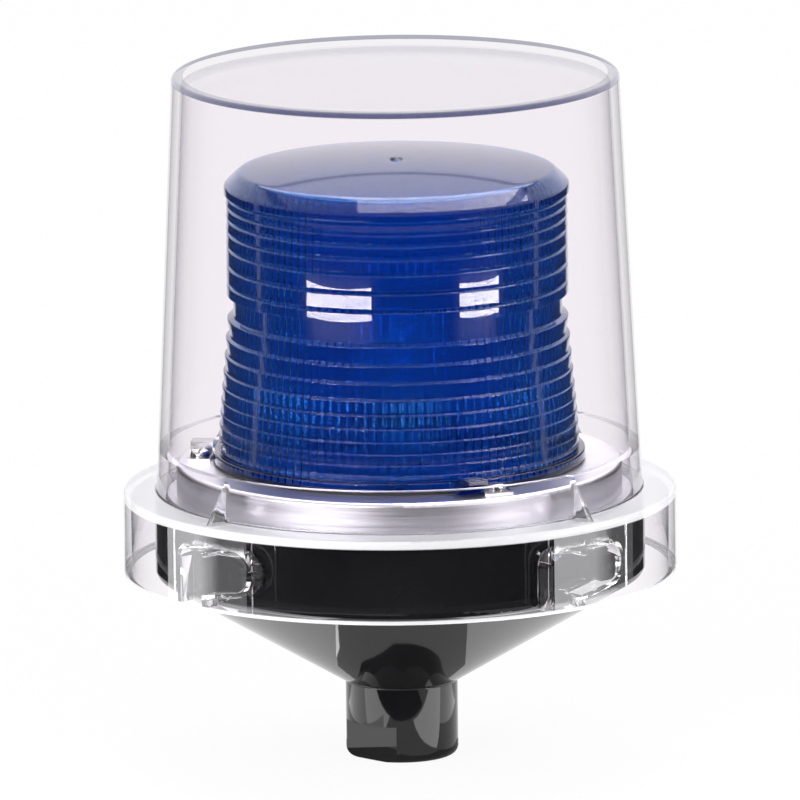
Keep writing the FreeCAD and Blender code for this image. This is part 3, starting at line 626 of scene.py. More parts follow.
class Slot(Enum):
    """The record's material slots, each with its finish."""

    BLACK_ENAMEL = SkinFinish("black_enamel", (0.006, 0.006, 0.007), (0.010, 0.010, 0.011),
                              roughness=0.045, spread=0.03, grain_scale=160.0, bump=0.05,
                              depth=0.0001, ior=1.40)
    CLEAR_DOME = GlassFinish("clear_dome", (0.985, 0.98, 0.99))
    BLUE_LENS = GlassFinish("blue_lens", (0.022, 0.155, 0.49), roughness=0.16, ior=1.45, coat=0.62,
                            under_coat=0.1)
    PAN_METAL = MetalFinish("pan_metal", (0.80, 0.80, 0.83), (0.71, 0.71, 0.74),
                            roughness=0.36, spread=0.25, bump=0.15)
    BRIGHT_STEEL = MetalFinish("bright_steel", (0.72, 0.72, 0.74), (0.60, 0.59, 0.57),
                               roughness=0.22, ring_scale=4000.0)
    GASKET_RUBBER = SkinFinish("gasket_rubber", (0.02, 0.02, 0.02), (0.03, 0.03, 0.03),
                               roughness=0.75, grain_scale=1500.0, bump=0.3)
    WHITE_CERAMIC = SkinFinish("white_ceramic", (0.80, 0.78, 0.74), (0.74, 0.72, 0.67),
                               roughness=0.55, grain_scale=1200.0)
    CONTACT_BRASS = MetalFinish("contact_brass", (0.78, 0.58, 0.26), (0.62, 0.44, 0.20),
                                roughness=0.25, ring_scale=5000.0)
    BLACK_MOULDING = SkinFinish("black_moulding", (0.018, 0.018, 0.020), (0.026, 0.026, 0.028),
                                roughness=0.42, grain_scale=1400.0, bump=0.25)
    TUBE_GLASS = GlassFinish("tube_glass", (0.97, 0.98, 0.985), ior=1.47)
    BOARD_GREEN = SkinFinish("board_green", (0.012, 0.14, 0.055), (0.020, 0.19, 0.075),
                             roughness=0.35, grain_scale=500.0, coat=0.4)
    CAPACITOR_SLEEVE = SkinFinish("capacitor_sleeve", (0.012, 0.03, 0.14), (0.018, 0.045, 0.18),
                                  roughness=0.3, grain_scale=300.0, coat=0.3)
    WINDING_TAPE = SkinFinish("winding_tape", (0.62, 0.44, 0.06), (0.52, 0.36, 0.05),
                              roughness=0.5, grain_scale=1000.0)
    HEAT_SINK_METAL = MetalFinish("heat_sink_metal", (0.62, 0.62, 0.64), (0.50, 0.50, 0.52),
                                  roughness=0.38, height_scale=3000.0)
    TERMINAL_GREEN = SkinFinish("terminal_green", (0.02, 0.24, 0.09), (0.03, 0.28, 0.11),
                                roughness=0.45, grain_scale=1200.0)
    GROUND_GREEN = SkinFinish("ground_green", (0.015, 0.22, 0.06), (0.02, 0.26, 0.08),
                              roughness=0.3, coat=0.3)


class Paintbox:
    """Builds each finish once."""

    def __init__(self) -> None:
        """Start with no material made."""
        self.made: dict[str, bpy.types.Material] = {}

    def of(self, finish: Finish) -> bpy.types.Material:
        """The material of a finish.

        Args:
            finish: The finish.

        Returns:
            Its material.
        """
        if finish.name not in self.made:
            self.made[finish.name] = finish.build()
        return self.made[finish.name]


# ---------------------------------------------------------------- mesh helpers


def new_object(name: str, mesh: Mesh) -> Piece:
    """Link a mesh into the scene.

    Args:
        name: The piece's name.
        mesh: Its mesh, in the row frame.

    Returns:
        The object.
    """
    made = bpy.data.objects.new(name, mesh)
    bpy.context.scene.collection.objects.link(made)
    return made


def softened(corners: Sequence[Corner], steps: int = 3) -> list[Point]:
    """Round the corners of an outline.

    Args:
        corners: Points (radius, height) or (radius, height, rounding).
        steps: Points that each rounded corner gets, less one.

    Returns:
        The outline's points.
    """
    points: list[Point] = []
    for index, corner in enumerate(corners):
        rounding = corner[2] if len(corner) > 2 else 0.0
        here = Vector(corner[:2])
        if rounding <= 0.0 or index in (0, len(corners) - 1):
            points.append((here.x, here.y))
            continue
        back = Vector(corners[index - 1][:2]) - here
        ahead = Vector(corners[index + 1][:2]) - here
        reach = min(rounding, ROUND_SHARE * back.length, ROUND_SHARE * ahead.length)
        start = here + back.normalized() * reach
        end = here + ahead.normalized() * reach
        for step in range(steps + 1):
            share = step / steps
            first = start.lerp(here, share)
            second = here.lerp(end, share)
            point = first.lerp(second, share)
            points.append((point.x, point.y))
    return points


def closed_mesh(work: bmesh.types.BMesh, name: str) -> Mesh:
    """A mesh of what was built, its faces pointing outwards.

    Args:
        work: What was built, freed here.
        name: The mesh's name.

    Returns:
        The mesh.
    """
    bmesh.ops.recalc_face_normals(work, faces=work.faces)
    mesh = bpy.data.meshes.new(name)
    work.to_mesh(mesh)
    work.free()
    return mesh


class Lathe:
    """Turns outlines about the axis into one closed mesh."""

    def __init__(self) -> None:
        """Start an empty mesh."""
        self.mesh = bmesh.new()

    def ring(self, radius: float, height: float, segments: int,
             wave: Callable[[float], float] | None = None) -> Ring:
        """A ring of vertices, or one vertex on the axis.

        Args:
            radius: Radius in millimetres.
            height: Height in millimetres.
            segments: Vertices in the ring.
            wave: Adds to the radius at an angle.

        Returns:
            The ring's vertices.
        """
        if radius < ON_AXIS:
            return [self.mesh.verts.new((0.0, 0.0, height * MM))]
        verts = []
        for index in range(segments):
            angle = 2 * math.pi * index / segments
            reach = (radius + (wave(angle) if wave else 0.0)) * MM
            verts.append(self.mesh.verts.new((reach * math.cos(angle), reach * math.sin(angle),
                                              height * MM)))
        return verts

    def join(self, lower: Ring, upper: Ring) -> None:
        """Faces between two rings, whatever their counts.

        Args:
            lower: A ring.
            upper: The next ring along the outline.
        """
        low_count, high_count = len(lower), len(upper)
        if low_count == high_count:
            for index in range(low_count):
                after = (index + 1) % low_count
                self.mesh.faces.new((lower[index], lower[after], upper[after], upper[index]))
            return
        low = high = 0
        while True:
            low_turn, high_turn = (
                (done + 1) / count if done < count and count > 1 else math.inf
                for done, count in ((low, low_count), (high, high_count)))
            if low_turn == high_turn == math.inf:
                break
            here_low, here_high = lower[low % low_count], upper[high % high_count]
            if low_turn <= high_turn:
                self.mesh.faces.new((here_low, lower[(low + 1) % low_count], here_high))
                low += 1
            else:
                self.mesh.faces.new((here_low, upper[(high + 1) % high_count], here_high))
                high += 1

    def turn(self, outline: Sequence[Point], segments: int,
             wave: Callable[[float], float] | None = None) -> list[Ring]:
        """Turn an open outline.

        Args:
            outline: Points (radius, height).
            segments: Vertices in each ring.
            wave: Adds to the radius at an angle.

        Returns:
            The rings, in the outline's order.
        """
        rings = [self.ring(radius, height, segments, wave) for radius, height in outline]
        for first, second in zip(rings, rings[1:]):
            self.join(first, second)
        return rings

    def finish(self, name: str) -> Mesh:
        """The mesh, under a name."""
        return closed_mesh(self.mesh, name)


def shade_smooth(mesh: Mesh, sharp_angle: float) -> None:
    """Smooth the shading except across sharp edges.

    Args:
        mesh: The mesh.
        sharp_angle: Angle in degrees past which an edge stays sharp.
    """
    for face in mesh.polygons:
        face.use_smooth = True
    mesh.set_sharp_from_angle(angle=math.radians(sharp_angle))


def applied(piece: Piece, modifier: bpy.types.Modifier) -> Mesh:
    """Give a piece the mesh that its one modifier makes, and take the modifier away.

    Args:
        piece: The piece.
        modifier: Its modifier.

    Returns:
        The new mesh.
    """
    depsgraph = bpy.context.evaluated_depsgraph_get()
    mesh = bpy.data.meshes.new_from_object(piece.evaluated_get(depsgraph))
    piece.modifiers.remove(modifier)
    mesh.name = piece.data.name
    piece.data = mesh
    return mesh


def weighted(piece: Piece) -> Piece:
    """Let the wide faces set the shading, so that flat faces beside small rounds stay flat.

    Args:
        piece: A piece with smooth faces and marked sharp edges.

    Returns:
        The same piece with its new normals.
    """
    modifier = piece.modifiers.new("weighted", "WEIGHTED_NORMAL")
    modifier.keep_sharp = True
    modifier.weight = WIDE_FACE_WEIGHT
    applied(piece, modifier)
    return piece


def merged_copy(node: Piece, name: str, sharp_angle: float = 32.0) -> Piece:
    """A copy of a CAD node with its triangles joined.

    Args:
        node: The CAD node.
        name: The copy's name.
        sharp_angle: Angle past which an edge stays sharp.

    Returns:
        The copy, in the same place.
    """
    work = bmesh.new()
    work.from_mesh(node.data)
    bmesh.ops.remove_doubles(work, verts=work.verts, dist=JOIN_DISTANCE)
    bmesh.ops.dissolve_degenerate(work, edges=work.edges, dist=LEAST_EDGE)
    mesh = bpy.data.meshes.new(name)
    work.to_mesh(mesh)
    work.free()
    shade_smooth(mesh, sharp_angle)
    return weighted(new_object(name, mesh))


# ------------------------------------------------------------- sub-assemblies


@dataclass
class BlueLens:
    """The ring lens: outline of the mould's rings outside, upright flutes inside."""

    foot_z: float = 101.6
    foot_radius: float = 62.3
    foot_thickness: float = 3.0
    inner_foot_radius: float = 55.5
    inner_top_radius: float = 50.5
    belt_centre: float = 52.0
    belt_half: float = 4.0
    belt_radius: float = 55.0
    crest_radius: float = 57.1
    lower_draft: float = 0.083
    shoulder_height: float = 92.9
    shoulder_radius: float = 57.7
    top_rise: float = 4.6
    top_radius: float = 52.8
    top_thickness: float = 2.5
    crown: float = 3.4
    gate_radius: float = 2.4
    gate_height: float = 0.8
    ring_pitch: float = 6.4
    pitch_ratio: float = 0.925
    least_pitch: float = 3.3
    lower_depth: float = 1.9
    lower_depth_ratio: float = 0.78
    lower_least_depth: float = 0.5
    upper_ledges: tuple[float, ...] = (157.6, 162.2, 168.4, 174.6, 179.7, 184.2, 188.2, 191.6)
    upper_recesses: tuple[float, ...] = (0.02, 0.04, 0.12, 0.2, 0.3, 0.3, 0.3)
    upper_step: float = 1.3
    ledge_slope: float = 0.36
    crest_round: float = 0.45
    root_round: float = 0.25
    ledge_rounds: tuple[float, float] = (0.3, 0.2)
    shoulder_round: float = 0.8
    foot_round: float = 0.6
    top_round: float = 1.2
    gate_lip: float = 0.62
    gate_brim: float = 0.42
    gate_rounds: tuple[float, float] = (0.6, 0.3)
    gate_sink: float = 0.05
    ceiling_reach: float = 2.0
    ceiling_round: float = 0.6
    ceiling_drop: float = 0.5
    crown_steps: int = 16
    ceiling_steps: int = 8
    wall_rows: int = 14
    sharp_angle: float = 40.0
    flute_count: int = 120
    flute_depth: float = 0.36
    outer_segments: int = 288
    inner_segments: int = 720
    ear_bearings: tuple[float, ...] = (23.5, 143.5, 263.5)
    ear_width: float = 8.8
    ear_reach: float = 7.2
    ear_corner: float = 1.5
    ear_cut: float = 0.4
    ear_steps: int = 6

    def lower_rings(self) -> list[Corner]:
        """Outline of the rings under the belt.

        Returns:
            Its corners, from the foot upwards.
        """
        belt_low = self.foot_z + self.belt_centre - self.belt_half
        foot_top = self.foot_z + self.foot_thickness
        points: list[Corner] = []
        ledge, pitch, depth = belt_low, self.ring_pitch, self.lower_depth
        while ledge > foot_top + pitch / 2:
            crest = self.crest_radius + self.lower_draft * (belt_low - ledge)
            following = max(ledge - pitch, foot_top)
            following_crest = crest + self.lower_draft * (ledge - following)
            depth = max(depth * self.lower_depth_ratio, self.lower_least_depth)
            points += [(crest, ledge, self.crest_round),
                       (following_crest - depth, following + self.ledge_slope * depth,
                        self.root_round)]
            ledge = following
            pitch = max(pitch * self.pitch_ratio, self.least_pitch)
        if ledge > foot_top:
            points.append((points[-1][0], foot_top, self.root_round))
        belt_foot = belt_low + self.ledge_slope * (self.crest_radius - self.belt_radius)
        return list(reversed(points)) + [(self.belt_radius, belt_foot, self.root_round)]

    def upper_rings(self) -> list[Corner]:
        """Outline of the rings over the belt.

        Returns:
            Its corners, up to the shoulder.
        """
        shoulder = self.foot_z + self.shoulder_height
        crest_round, recess_round = self.ledge_rounds
        points: list[Corner] = [(self.belt_radius, self.upper_ledges[0], self.root_round)]
        for low, high, recess in zip(self.upper_ledges, self.upper_ledges[1:], self.upper_recesses):
            crest = self.crest_radius
            points += [(crest, low, crest_round),
                       (crest - recess, high - self.upper_step, recess_round),
                       (crest - self.upper_step, high, recess_round)]
        return points + [(self.shoulder_radius, self.upper_ledges[-1], self.crest_round),
                         (self.shoulder_radius, shoulder, self.shoulder_round)]

    def crown_points(self, radius: float, base: float, steps: int) -> list[Point]:
        """Points of a shallow dome from its edge to the axis.

        Args:
            radius: Radius of its edge.
            base: Height of its edge.
            steps: Number of spans.

        Returns:
            Points (radius, height), the edge left out.
        """
        sphere = (radius ** 2 + self.crown ** 2) / (2 * self.crown)
        points = []
        for step in range(1, steps + 1):
            reach = radius * (1 - step / steps)
            rise = math.sqrt(sphere ** 2 - reach ** 2) - (sphere - self.crown)
            points.append((reach, base + rise))
        return points

    def outside(self) -> list[Point]:
        """The whole outer outline.

        Returns:
            Its points, from the foot's bottom edge to the gate mark.
        """
        top = self.foot_z + self.shoulder_height + self.top_rise
        foot_top = self.foot_z + self.foot_thickness
        corners: list[Corner] = [(self.foot_radius, self.foot_z),
                                 (self.foot_radius, foot_top, self.foot_round)]
        corners += self.lower_rings() + self.upper_rings()
        corners.append((self.top_radius, top, self.top_round))
        crown = self.crown_points(self.top_radius, top, self.crown_steps)
        nub_base = top + self.crown
        nub_top = nub_base + self.gate_height
        lip_round, brim_round = self.gate_rounds
        nub = [(self.gate_radius, nub_base - self.gate_sink),
               (self.gate_radius * self.gate_lip, nub_top, lip_round),
               (self.gate_radius * self.gate_brim, nub_top, brim_round),
               (0.0, nub_base + self.gate_height / 2)]
        crown = [point for point in crown if point[0] > self.gate_radius]
        return softened(corners + crown + nub)

    def build(self) -> Piece:
        """The lens as one closed moulding.

        Returns:
            The piece.
        """
        lathe = Lathe()
        outer = lathe.turn(self.outside(), self.outer_segments)

        def flutes(angle: float) -> float:
            """Inner flutes, round ribs that stand out of the inner wall."""
            return -self.flute_depth * abs(math.cos(angle * self.flute_count / 2))

        top = self.foot_z + self.shoulder_height + self.top_rise
        ceiling = top - self.top_thickness
        rows, reach = self.wall_rows, self.ceiling_reach
        wall = [(self.inner_foot_radius
                 + (self.inner_top_radius - self.inner_foot_radius) * row / rows,
                 self.foot_z + (ceiling - reach - self.foot_z) * row / rows)
                for row in range(rows + 1)]
        inner = lathe.turn(wall, self.inner_segments, flutes)
        lathe.join(outer[0], inner[0])
        roof = [(self.inner_top_radius - self.ceiling_round, ceiling - self.ceiling_drop),
                (self.inner_top_radius - reach, ceiling)]
        roof += self.crown_points(self.inner_top_radius - reach, ceiling, self.ceiling_steps)
        plain = lathe.turn(roof, self.outer_segments)
        lathe.join(inner[-1], plain[0])
        mesh = lathe.finish("blue_lens_body")
        shade_smooth(mesh, self.sharp_angle)
        return weighted(new_object("lens_moulding", mesh))

    def ears(self) -> Piece:
        """The foot's ears, each a plate that starts on the foot's rim.

        Returns:
            The piece.
        """
        work = bmesh.new()
        low, high = self.foot_z * MM, (self.foot_z + self.foot_thickness) * MM
        end, reach = -self.ear_width, self.foot_radius + self.ear_reach
        corner, cut = self.ear_corner, self.ear_cut
        for bearing in self.ear_bearings:
            outline = []
            for step in range(self.ear_steps + 1):
                along = end * step / self.ear_steps
                outline.append((along, math.sqrt(self.foot_radius ** 2 - along ** 2)))
            outline += [(end, reach - corner), (end + cut, reach - cut), (end + corner, reach),
                        (-corner, reach), (-cut, reach - cut), (0.0, reach - corner)]
            turn = Matrix.Rotation(math.radians(bearing), 3, "Z")
            floor = [work.verts.new(turn @ Vector((x * MM, -y * MM, low))) for x, y in outline]
            face = work.faces.new(floor)
            grown = bmesh.ops.extrude_face_region(work, geom=[face])
            lift = [item for item in grown["geom"] if isinstance(item, bmesh.types.BMVert)]
            bmesh.ops.translate(work, verts=lift, vec=(0.0, 0.0, high - low))
        mesh = closed_mesh(work, "lens_ear_plates")
        shade_smooth(mesh, self.sharp_angle)
        return new_object("lens_ears", mesh)

    def dress(self, paint: Paintbox) -> None:
        """Build the lens and put it in the CAD lens's place.

        Args:
            paint: The finishes.
        """
        body = self.build()
        ears = self.ears()
        for piece in (body, ears):
            piece.data.materials.append(paint.of(Slot.BLUE_LENS.value))
            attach(piece, "base")
            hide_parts("blue_lens")
            LOG.info("%s: %d faces", piece.name, len(piece.data.polygons))


@dataclass
class BoreThread:
    """The pipe thread in the hub's bore, a ridge along a helix, made by Geometry Nodes."""

    radius: float = 11.7
    pitch: float = 1.81
    turns: float = 9.0
    ridge: float = 0.5
    start_z: float = 1.9
    turn_points: int = 48
    ridge_points: int = 8
    sharp_angle: float = 50.0

    def sizes(self, material: bpy.types.Material) -> dict[str, tuple[SocketKind, object]]:
        """The tree's inputs, each with its socket type and its value in metres.

        Args:
            material: The finish of the ridge.

        Returns:
            Name to socket type and value.
        """
        return {"Radius": (SocketKind.FLOAT, self.radius * MM),
                "Height": (SocketKind.FLOAT, self.pitch * self.turns * MM),
                "Turns": (SocketKind.FLOAT, self.turns),
                "Ridge": (SocketKind.FLOAT, self.ridge * MM),
                "Start": (SocketKind.VECTOR, (0.0, 0.0, self.start_z * MM)),
                "Material": (SocketKind.MATERIAL, material)}

    def tree(self, sizes: dict[str, tuple[SocketKind, object]]) -> bpy.types.NodeTree:
        """The node tree: a round ridge swept along a helix.

        Args:
            sizes: Its inputs.

        Returns:
            The tree.
        """
        group = new_group("helical_ridge", "GeometryNodeTree",
                          {name: kind for name, (kind, _) in sizes.items()},
                          {"Geometry": SocketKind.GEOMETRY})
        build = Graph(group)
        given = build.node("NodeGroupInput").outputs
        helix = build.node("GeometryNodeCurveSpiral", {
            "Resolution": self.turn_points, "Rotations": given["Turns"],
            "Start Radius": given["Radius"], "End Radius": given["Radius"],
            "Height": given["Height"]})
        outline = build.node("GeometryNodeCurvePrimitiveCircle", {
            "Resolution": self.ridge_points, "Radius": given["Ridge"]}, mode="RADIUS")
        sweep = build.node("GeometryNodeCurveToMesh", {
            "Curve": helix.outputs["Curve"], "Profile Curve": outline.outputs["Curve"],
            "Fill Caps": True})
        place = build.node("GeometryNodeTransform", {"Geometry": sweep.outputs["Mesh"],
                                                     "Translation": given["Start"]})
        real = build.node("GeometryNodeRealizeInstances",
                          {"Geometry": place.outputs["Geometry"]})
        finish = build.node("GeometryNodeSetMaterial", {"Geometry": real.outputs["Geometry"],
                                                        "Material": given["Material"]})
        build.node("NodeGroupOutput", {"Geometry": finish.outputs["Geometry"]})
        return group

    def dress(self, paint: Paintbox) -> None:
        """Build the thread as a plain mesh in the bore.

        Args:
            paint: The finishes.
        """
        sizes = self.sizes(paint.of(Slot.BLACK_ENAMEL.value))
        group = self.tree(sizes)
        piece = new_object("bore_thread", bpy.data.meshes.new("bore_thread"))
        modifier = piece.modifiers.new("thread", "NODES")
        modifier.node_group = group
        for item in group.interface.items_tree:
            if item.in_out == "INPUT":
                modifier[item.identifier] = sizes[item.name][1]
        mesh = applied(piece, modifier)
        work = bmesh.new()
        work.from_mesh(mesh)
        bmesh.ops.recalc_face_normals(work, faces=work.faces)
        work.to_mesh(mesh)
        work.free()
        shade_smooth(mesh, self.sharp_angle)
        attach(piece, "base")
        LOG.info("%s: %d faces", piece.name, len(mesh.polygons))


class Wall(IntEnum):
    """The dome's finishes, in the order of its pieces' materials."""

    SOLID = 0
    FILM = 1
    JOINT = 2
    CORNER = 3
    SKIRT = 4
    FLANGE = 5


@dataclass
class ClearDome:
    """The outer dome: a turned cup on the CAD's foot.

    The wide walls and the cup's corner show as thin faces. The foot's other faces bend what is seen
    through them.
    """

    foot_radius: float = 81.3
    inner_foot_radius: float = 78.3
    foot_z: float = 88.6
    flange_top_z: float = 91.3
    parting_z: float = 105.5
    edge_z: float = 231.6
    top_radius: float = 74.7
    wall: float = 3.0
    crown: float = 1.2
    edge_round: float = 2.4
    edge_fullness: float = 1.6
    edge_lip: float = 1.5
    corner_reach: float = 4.6
    edge_reach: float = 2.3
    edge_steps: int = 8
    inner_steps: int = 6
    top_rings: tuple[float, ...] = (50.0, 25.0, 0.0)
    segments: int = 256
    sharp_angle: float = 35.0
    radial_facing: float = 0.9
    upright: float = 0.2
    slack: float = 0.1
    corner_slack: float = 0.2
    wall_slack: float = 0.3
    skirt_slack: float = 0.4
    rim_radius: float = 92.5
    rim_round: float = 1.2
    rim_foot_z: float = 63.7
    film: FilmFinish = FilmFinish("clear_dome_wall", (0.972, 0.958, 0.974), PAINTED_EDGE_SHADE)
    skirt: FilmFinish = SkirtFinish("clear_dome_skirt", FOOT_TINT, PAINTED_EDGE_SHADE)
    # The flange gets painted light: white that grows towards grazing angles.
    flange: FilmFinish = FilmFinish("clear_dome_flange", FOOT_TINT, PAINTED_EDGE_SHADE, painted_light=0.68)

    def outer_radius(self, height: float) -> float:
        """Outside radius of the wall at a height."""
        share = (height - self.flange_top_z) / (self.edge_z - self.flange_top_z)
        return self.foot_radius + (self.top_radius - self.foot_radius) * share

    def inner_radius(self, height: float) -> float:
        """Inside radius of the wall at a height.

        Args:
            height: Height in millimetres.

        Returns:
            The radius in millimetres.
        """
        share = (height - self.foot_z) / (self.edge_z - self.wall - self.foot_z)
        top = self.top_radius - self.wall
        return self.inner_foot_radius + (top - self.inner_foot_radius) * share

    def cup(self) -> Piece:
        """The wall over the parting plane, and the top.

        Returns:
            The piece.
        """
        lathe = Lathe()
        ceiling = self.edge_z - self.wall
        flat = self.top_radius - self.edge_round
        sphere = (flat ** 2 + self.crown ** 2) / (2 * self.crown)

        def crowned(radius: float) -> float:
            """Rise of the top over its edge at a radius."""
            return math.sqrt(sphere ** 2 - radius ** 2) - (sphere - self.crown)

        low, high = self.parting_z, self.edge_z - self.corner_reach
        outer = [(self.outer_radius(low), low), (self.outer_radius(high), high)]
        outer += softened([(self.outer_radius(high), high),
                           (self.top_radius, self.edge_z, self.edge_round * self.edge_fullness),
                           (flat - self.edge_lip, self.edge_z)], self.edge_steps)[1:]
        outer += [(reach, self.edge_z + crowned(reach))
                  for reach in (flat - self.corner_reach, *self.top_rings)]
        inner_edge = self.top_radius - self.wall
        inner_flat = inner_edge - self.corner_reach
        inner = [(reach, ceiling) for reach in (*reversed(self.top_rings), inner_flat)]
        inner += softened([(inner_flat, ceiling), (inner_edge, ceiling, self.edge_round),
                           (self.inner_radius(high), high)], self.inner_steps)[1:]
        inner.append((self.inner_radius(low), low))
        rings = lathe.turn(outer, self.segments)
        inner_rings = lathe.turn(inner, self.segments)
        lathe.join(inner_rings[-1], rings[0])
        mesh = lathe.finish("dome_cup")
        shade_smooth(mesh, self.sharp_angle)
        return weighted(new_object("dome_cup", mesh))

    def wall_of(self, face: bpy.types.MeshPolygon, corners: list[Vector]) -> Wall:
        """Which finish a face has, by its place and direction.

        Args:
            face: A face of the cup or the foot.
            corners: Its corners.

        Returns:
            The finish.
        """
        heights = [corner.z for corner in corners]
        reaches = [corner.xy.length for corner in corners]
        low, high, near = min(heights), max(heights), min(reaches)
        if high - low < LEVEL_SLACK and abs(heights[0] - self.parting_z * MM) < LEVEL_SLACK:
            return Wall.JOINT
        rim_near = self.rim_radius - self.rim_round - self.slack
        rim_low = self.flange_top_z - self.rim_round - self.slack
        if near > rim_near * MM and (low > rim_low * MM or high < self.rim_foot_z * MM):
            return Wall.SKIRT
        outward = Vector((face.center.x, face.center.y, 0.0)).normalized()
        under_flange = high < (self.flange_top_z + self.slack) * MM
        if under_flange and abs(face.normal.dot(outward)) > self.radial_facing:
            outside = near > (self.rim_radius - self.skirt_slack) * MM
            return Wall.SKIRT if outside else Wall.FILM
        if (under_flange and abs(face.normal.z) > self.radial_facing
                and near > (self.inner_foot_radius - self.slack) * MM
                and low > (self.foot_z - self.slack) * MM):
            return Wall.FLANGE
        if (low > (self.edge_z - self.edge_reach) * MM
                and max(reaches) > (self.top_radius - self.edge_reach) * MM):
            return Wall.CORNER
        on_wall = low > (self.flange_top_z - self.wall) * MM and all(
            reach < (self.outer_radius(height / MM) + self.wall_slack) * MM
            for reach, height in zip(reaches, heights))
        over_corner = low > (self.edge_z - self.corner_reach - self.corner_slack) * MM
        if over_corner or (on_wall and abs(face.normal.z) < self.upright):
            return Wall.FILM
        return Wall.SOLID

    def paint_walls(self, piece: Piece, paint: Paintbox) -> None:
        """Give the wide walls and the top the thin finish and the rest the solid one.

        Args:
            piece: The cup or the foot.
            paint: The finishes.
        """
        mesh = piece.data
        for finish in (Slot.CLEAR_DOME.value, self.film, JOINT, CORNER, self.skirt, self.flange):
            mesh.materials.append(paint.of(finish))
        for face in mesh.polygons:
            corners = [mesh.vertices[index].co for index in face.vertices]
            face.material_index = self.wall_of(face, corners)

    def dress(self, frame: dict, paint: Paintbox) -> None:
        """Build the cup, copy the CAD's foot with its triangles joined, and finish both.

        Args:
            frame: The loaded frame.
            paint: The finishes.
        """
        cup = self.cup()
        foot = merged_copy(frame["nodes"]["dome_foot"], "dome_skirt")
        for piece, node in ((cup, "outer_dome"), (foot, "dome_foot")):
            self.paint_walls(piece, paint)
            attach(piece, "dome")
            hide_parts(node)
            LOG.info("%s: %d faces", piece.name, len(piece.data.polygons))


@dataclass
class CadFinishes:
    """The pieces whose CAD shape stays, each with its finish."""

    slots: tuple[tuple[Slot, tuple[str, ...]], ...] = (
        (Slot.BLACK_ENAMEL, ("base_housing",)),
        (Slot.GASKET_RUBBER, ("dome_gasket", "lens_gasket")),
        (Slot.PAN_METAL, ("chassis_pan",)),
        (Slot.BRIGHT_STEEL, ("chassis_screws", "lens_clips", "lens_screws", "socket_screws",
                             "tube_electrodes", "trigger_wire", "board_screws",
                             "transistor_screw", "terminal_screws")),
        (Slot.WHITE_CERAMIC, ("tube_socket", "tube_base", "power_resistor")),
        (Slot.CONTACT_BRASS, ("socket_contacts", "tube_pins", "board_standoffs", "fuse_clips")),
        (Slot.TUBE_GLASS, ("tube_cover", "xenon_tube", "fuse")),
        (Slot.BOARD_GREEN, ("circuit_board",)),
        (Slot.CAPACITOR_SLEEVE, ("storage_capacitors",)),
        (Slot.WINDING_TAPE, ("power_transformer",)),
        (Slot.BLACK_MOULDING, ("trigger_transformer", "power_transistor")),
        (Slot.HEAT_SINK_METAL, ("heat_sink",)),
        (Slot.TERMINAL_GREEN, ("terminal_block",)),
        (Slot.GROUND_GREEN, ("ground_screw",)),
    )

    def dress(self, frame: dict, paint: Paintbox) -> None:
        """Give each CAD node its finish.

        Args:
            frame: The loaded frame.
            paint: The finishes.
        """
        for slot, names in self.slots:
            for name in names:
                data = frame["nodes"][name].data
                data.materials.clear()
                data.materials.append(paint.of(slot.value))
                LOG.info("%s keeps its CAD shape, in %s", name, slot.value.name)


# ------------------------------------------------------------------ the studio


@dataclass
class Softbox:
    """A lamp behind a diffuser."""

    name: str
    bearing: float
    distance: float
    height: float
    width: float
    tall: float
    watts: float
    aim_height: float = 0.13

    def build(self) -> None:
        """Place the lamp, turned to the part."""
        lamp = bpy.data.lights.new(self.name, "AREA")
        lamp.shape = "RECTANGLE"
        lamp.size = self.width
        lamp.size_y = self.tall
        lamp.energy = self.watts
        made = bpy.data.objects.new(self.name, lamp)
        angle = math.radians(self.bearing)
        made.location = (self.distance * math.sin(angle), -self.distance * math.cos(angle),
                         self.height)
        aim = Vector((0.0, 0.0, self.aim_height)) - made.location
        made.rotation_euler = aim.to_track_quat("-Z", "Y").to_euler()
        made.visible_camera = False
        bpy.context.scene.collection.objects.link(made)


@dataclass
class Mirrored:
    """A card or cloth beside the part that mirrored rays alone meet."""

    name: str
    verts: list[tuple[float, float, float]]
    faces: list[tuple[int, ...]]
    glow: float
    through_glass: bool = False

    def build(self) -> None:
        """Build it."""
        mesh = bpy.data.meshes.new(self.name)
        mesh.from_pydata(self.verts, [], self.faces)
        mesh.materials.append(GlowFinish(self.name, self.glow).build())
        card = new_object(self.name, mesh)
        card.visible_camera = card.visible_diffuse = card.visible_shadow = False
        card.visible_transmission = self.through_glass


def cloth(name: str, start: float, end: float, radius: float = 0.30, top: float = 0.20,
          glow: float = 0.035, face_angle: float = 4.0) -> Mirrored:
    """A dark cloth hung on part of a circle.

    Args:
        name: Its name.
        start: Bearing of its first edge, 0 at the front and growing to the right.
        end: Bearing of its last edge.
        radius: Radius of the circle in metres.
        top: Height in metres.
        glow: What it gives back.
        face_angle: Degrees of the circle that a face spans.

    Returns:
        The cloth.
    """
    steps = round(abs(end - start) / face_angle)
    verts = []
    for step in range(steps + 1):
        angle = math.radians(start + (end - start) * step / steps)
        x, y = radius * math.sin(angle), -radius * math.cos(angle)
        verts += [(x, y, 0.0), (x, y, top)]
    faces = [(2 * step, 2 * step + 2, 2 * step + 3, 2 * step + 1) for step in range(steps)]
    return Mirrored(name, verts, faces, glow)


def level_card(name: str, low: Point, high: Point, height: float, glow: float,
               through_glass: bool = False) -> Mirrored:
    """A card that lies level.

    Args:
        name: Its name.
        low: Its corner (x, y) in metres where both are least.
        high: Its opposite corner.
        height: Its height in metres.
        glow: What it gives back.
        through_glass: Whether rays that went through glass meet it too.

    Returns:
        The card.
    """
    corners = (low, (high[0], low[1]), high, (low[0], high[1]))
    verts = [(x, y, height) for x, y in corners]
    return Mirrored(name, verts, [(0, 1, 2, 3)], glow, through_glass)


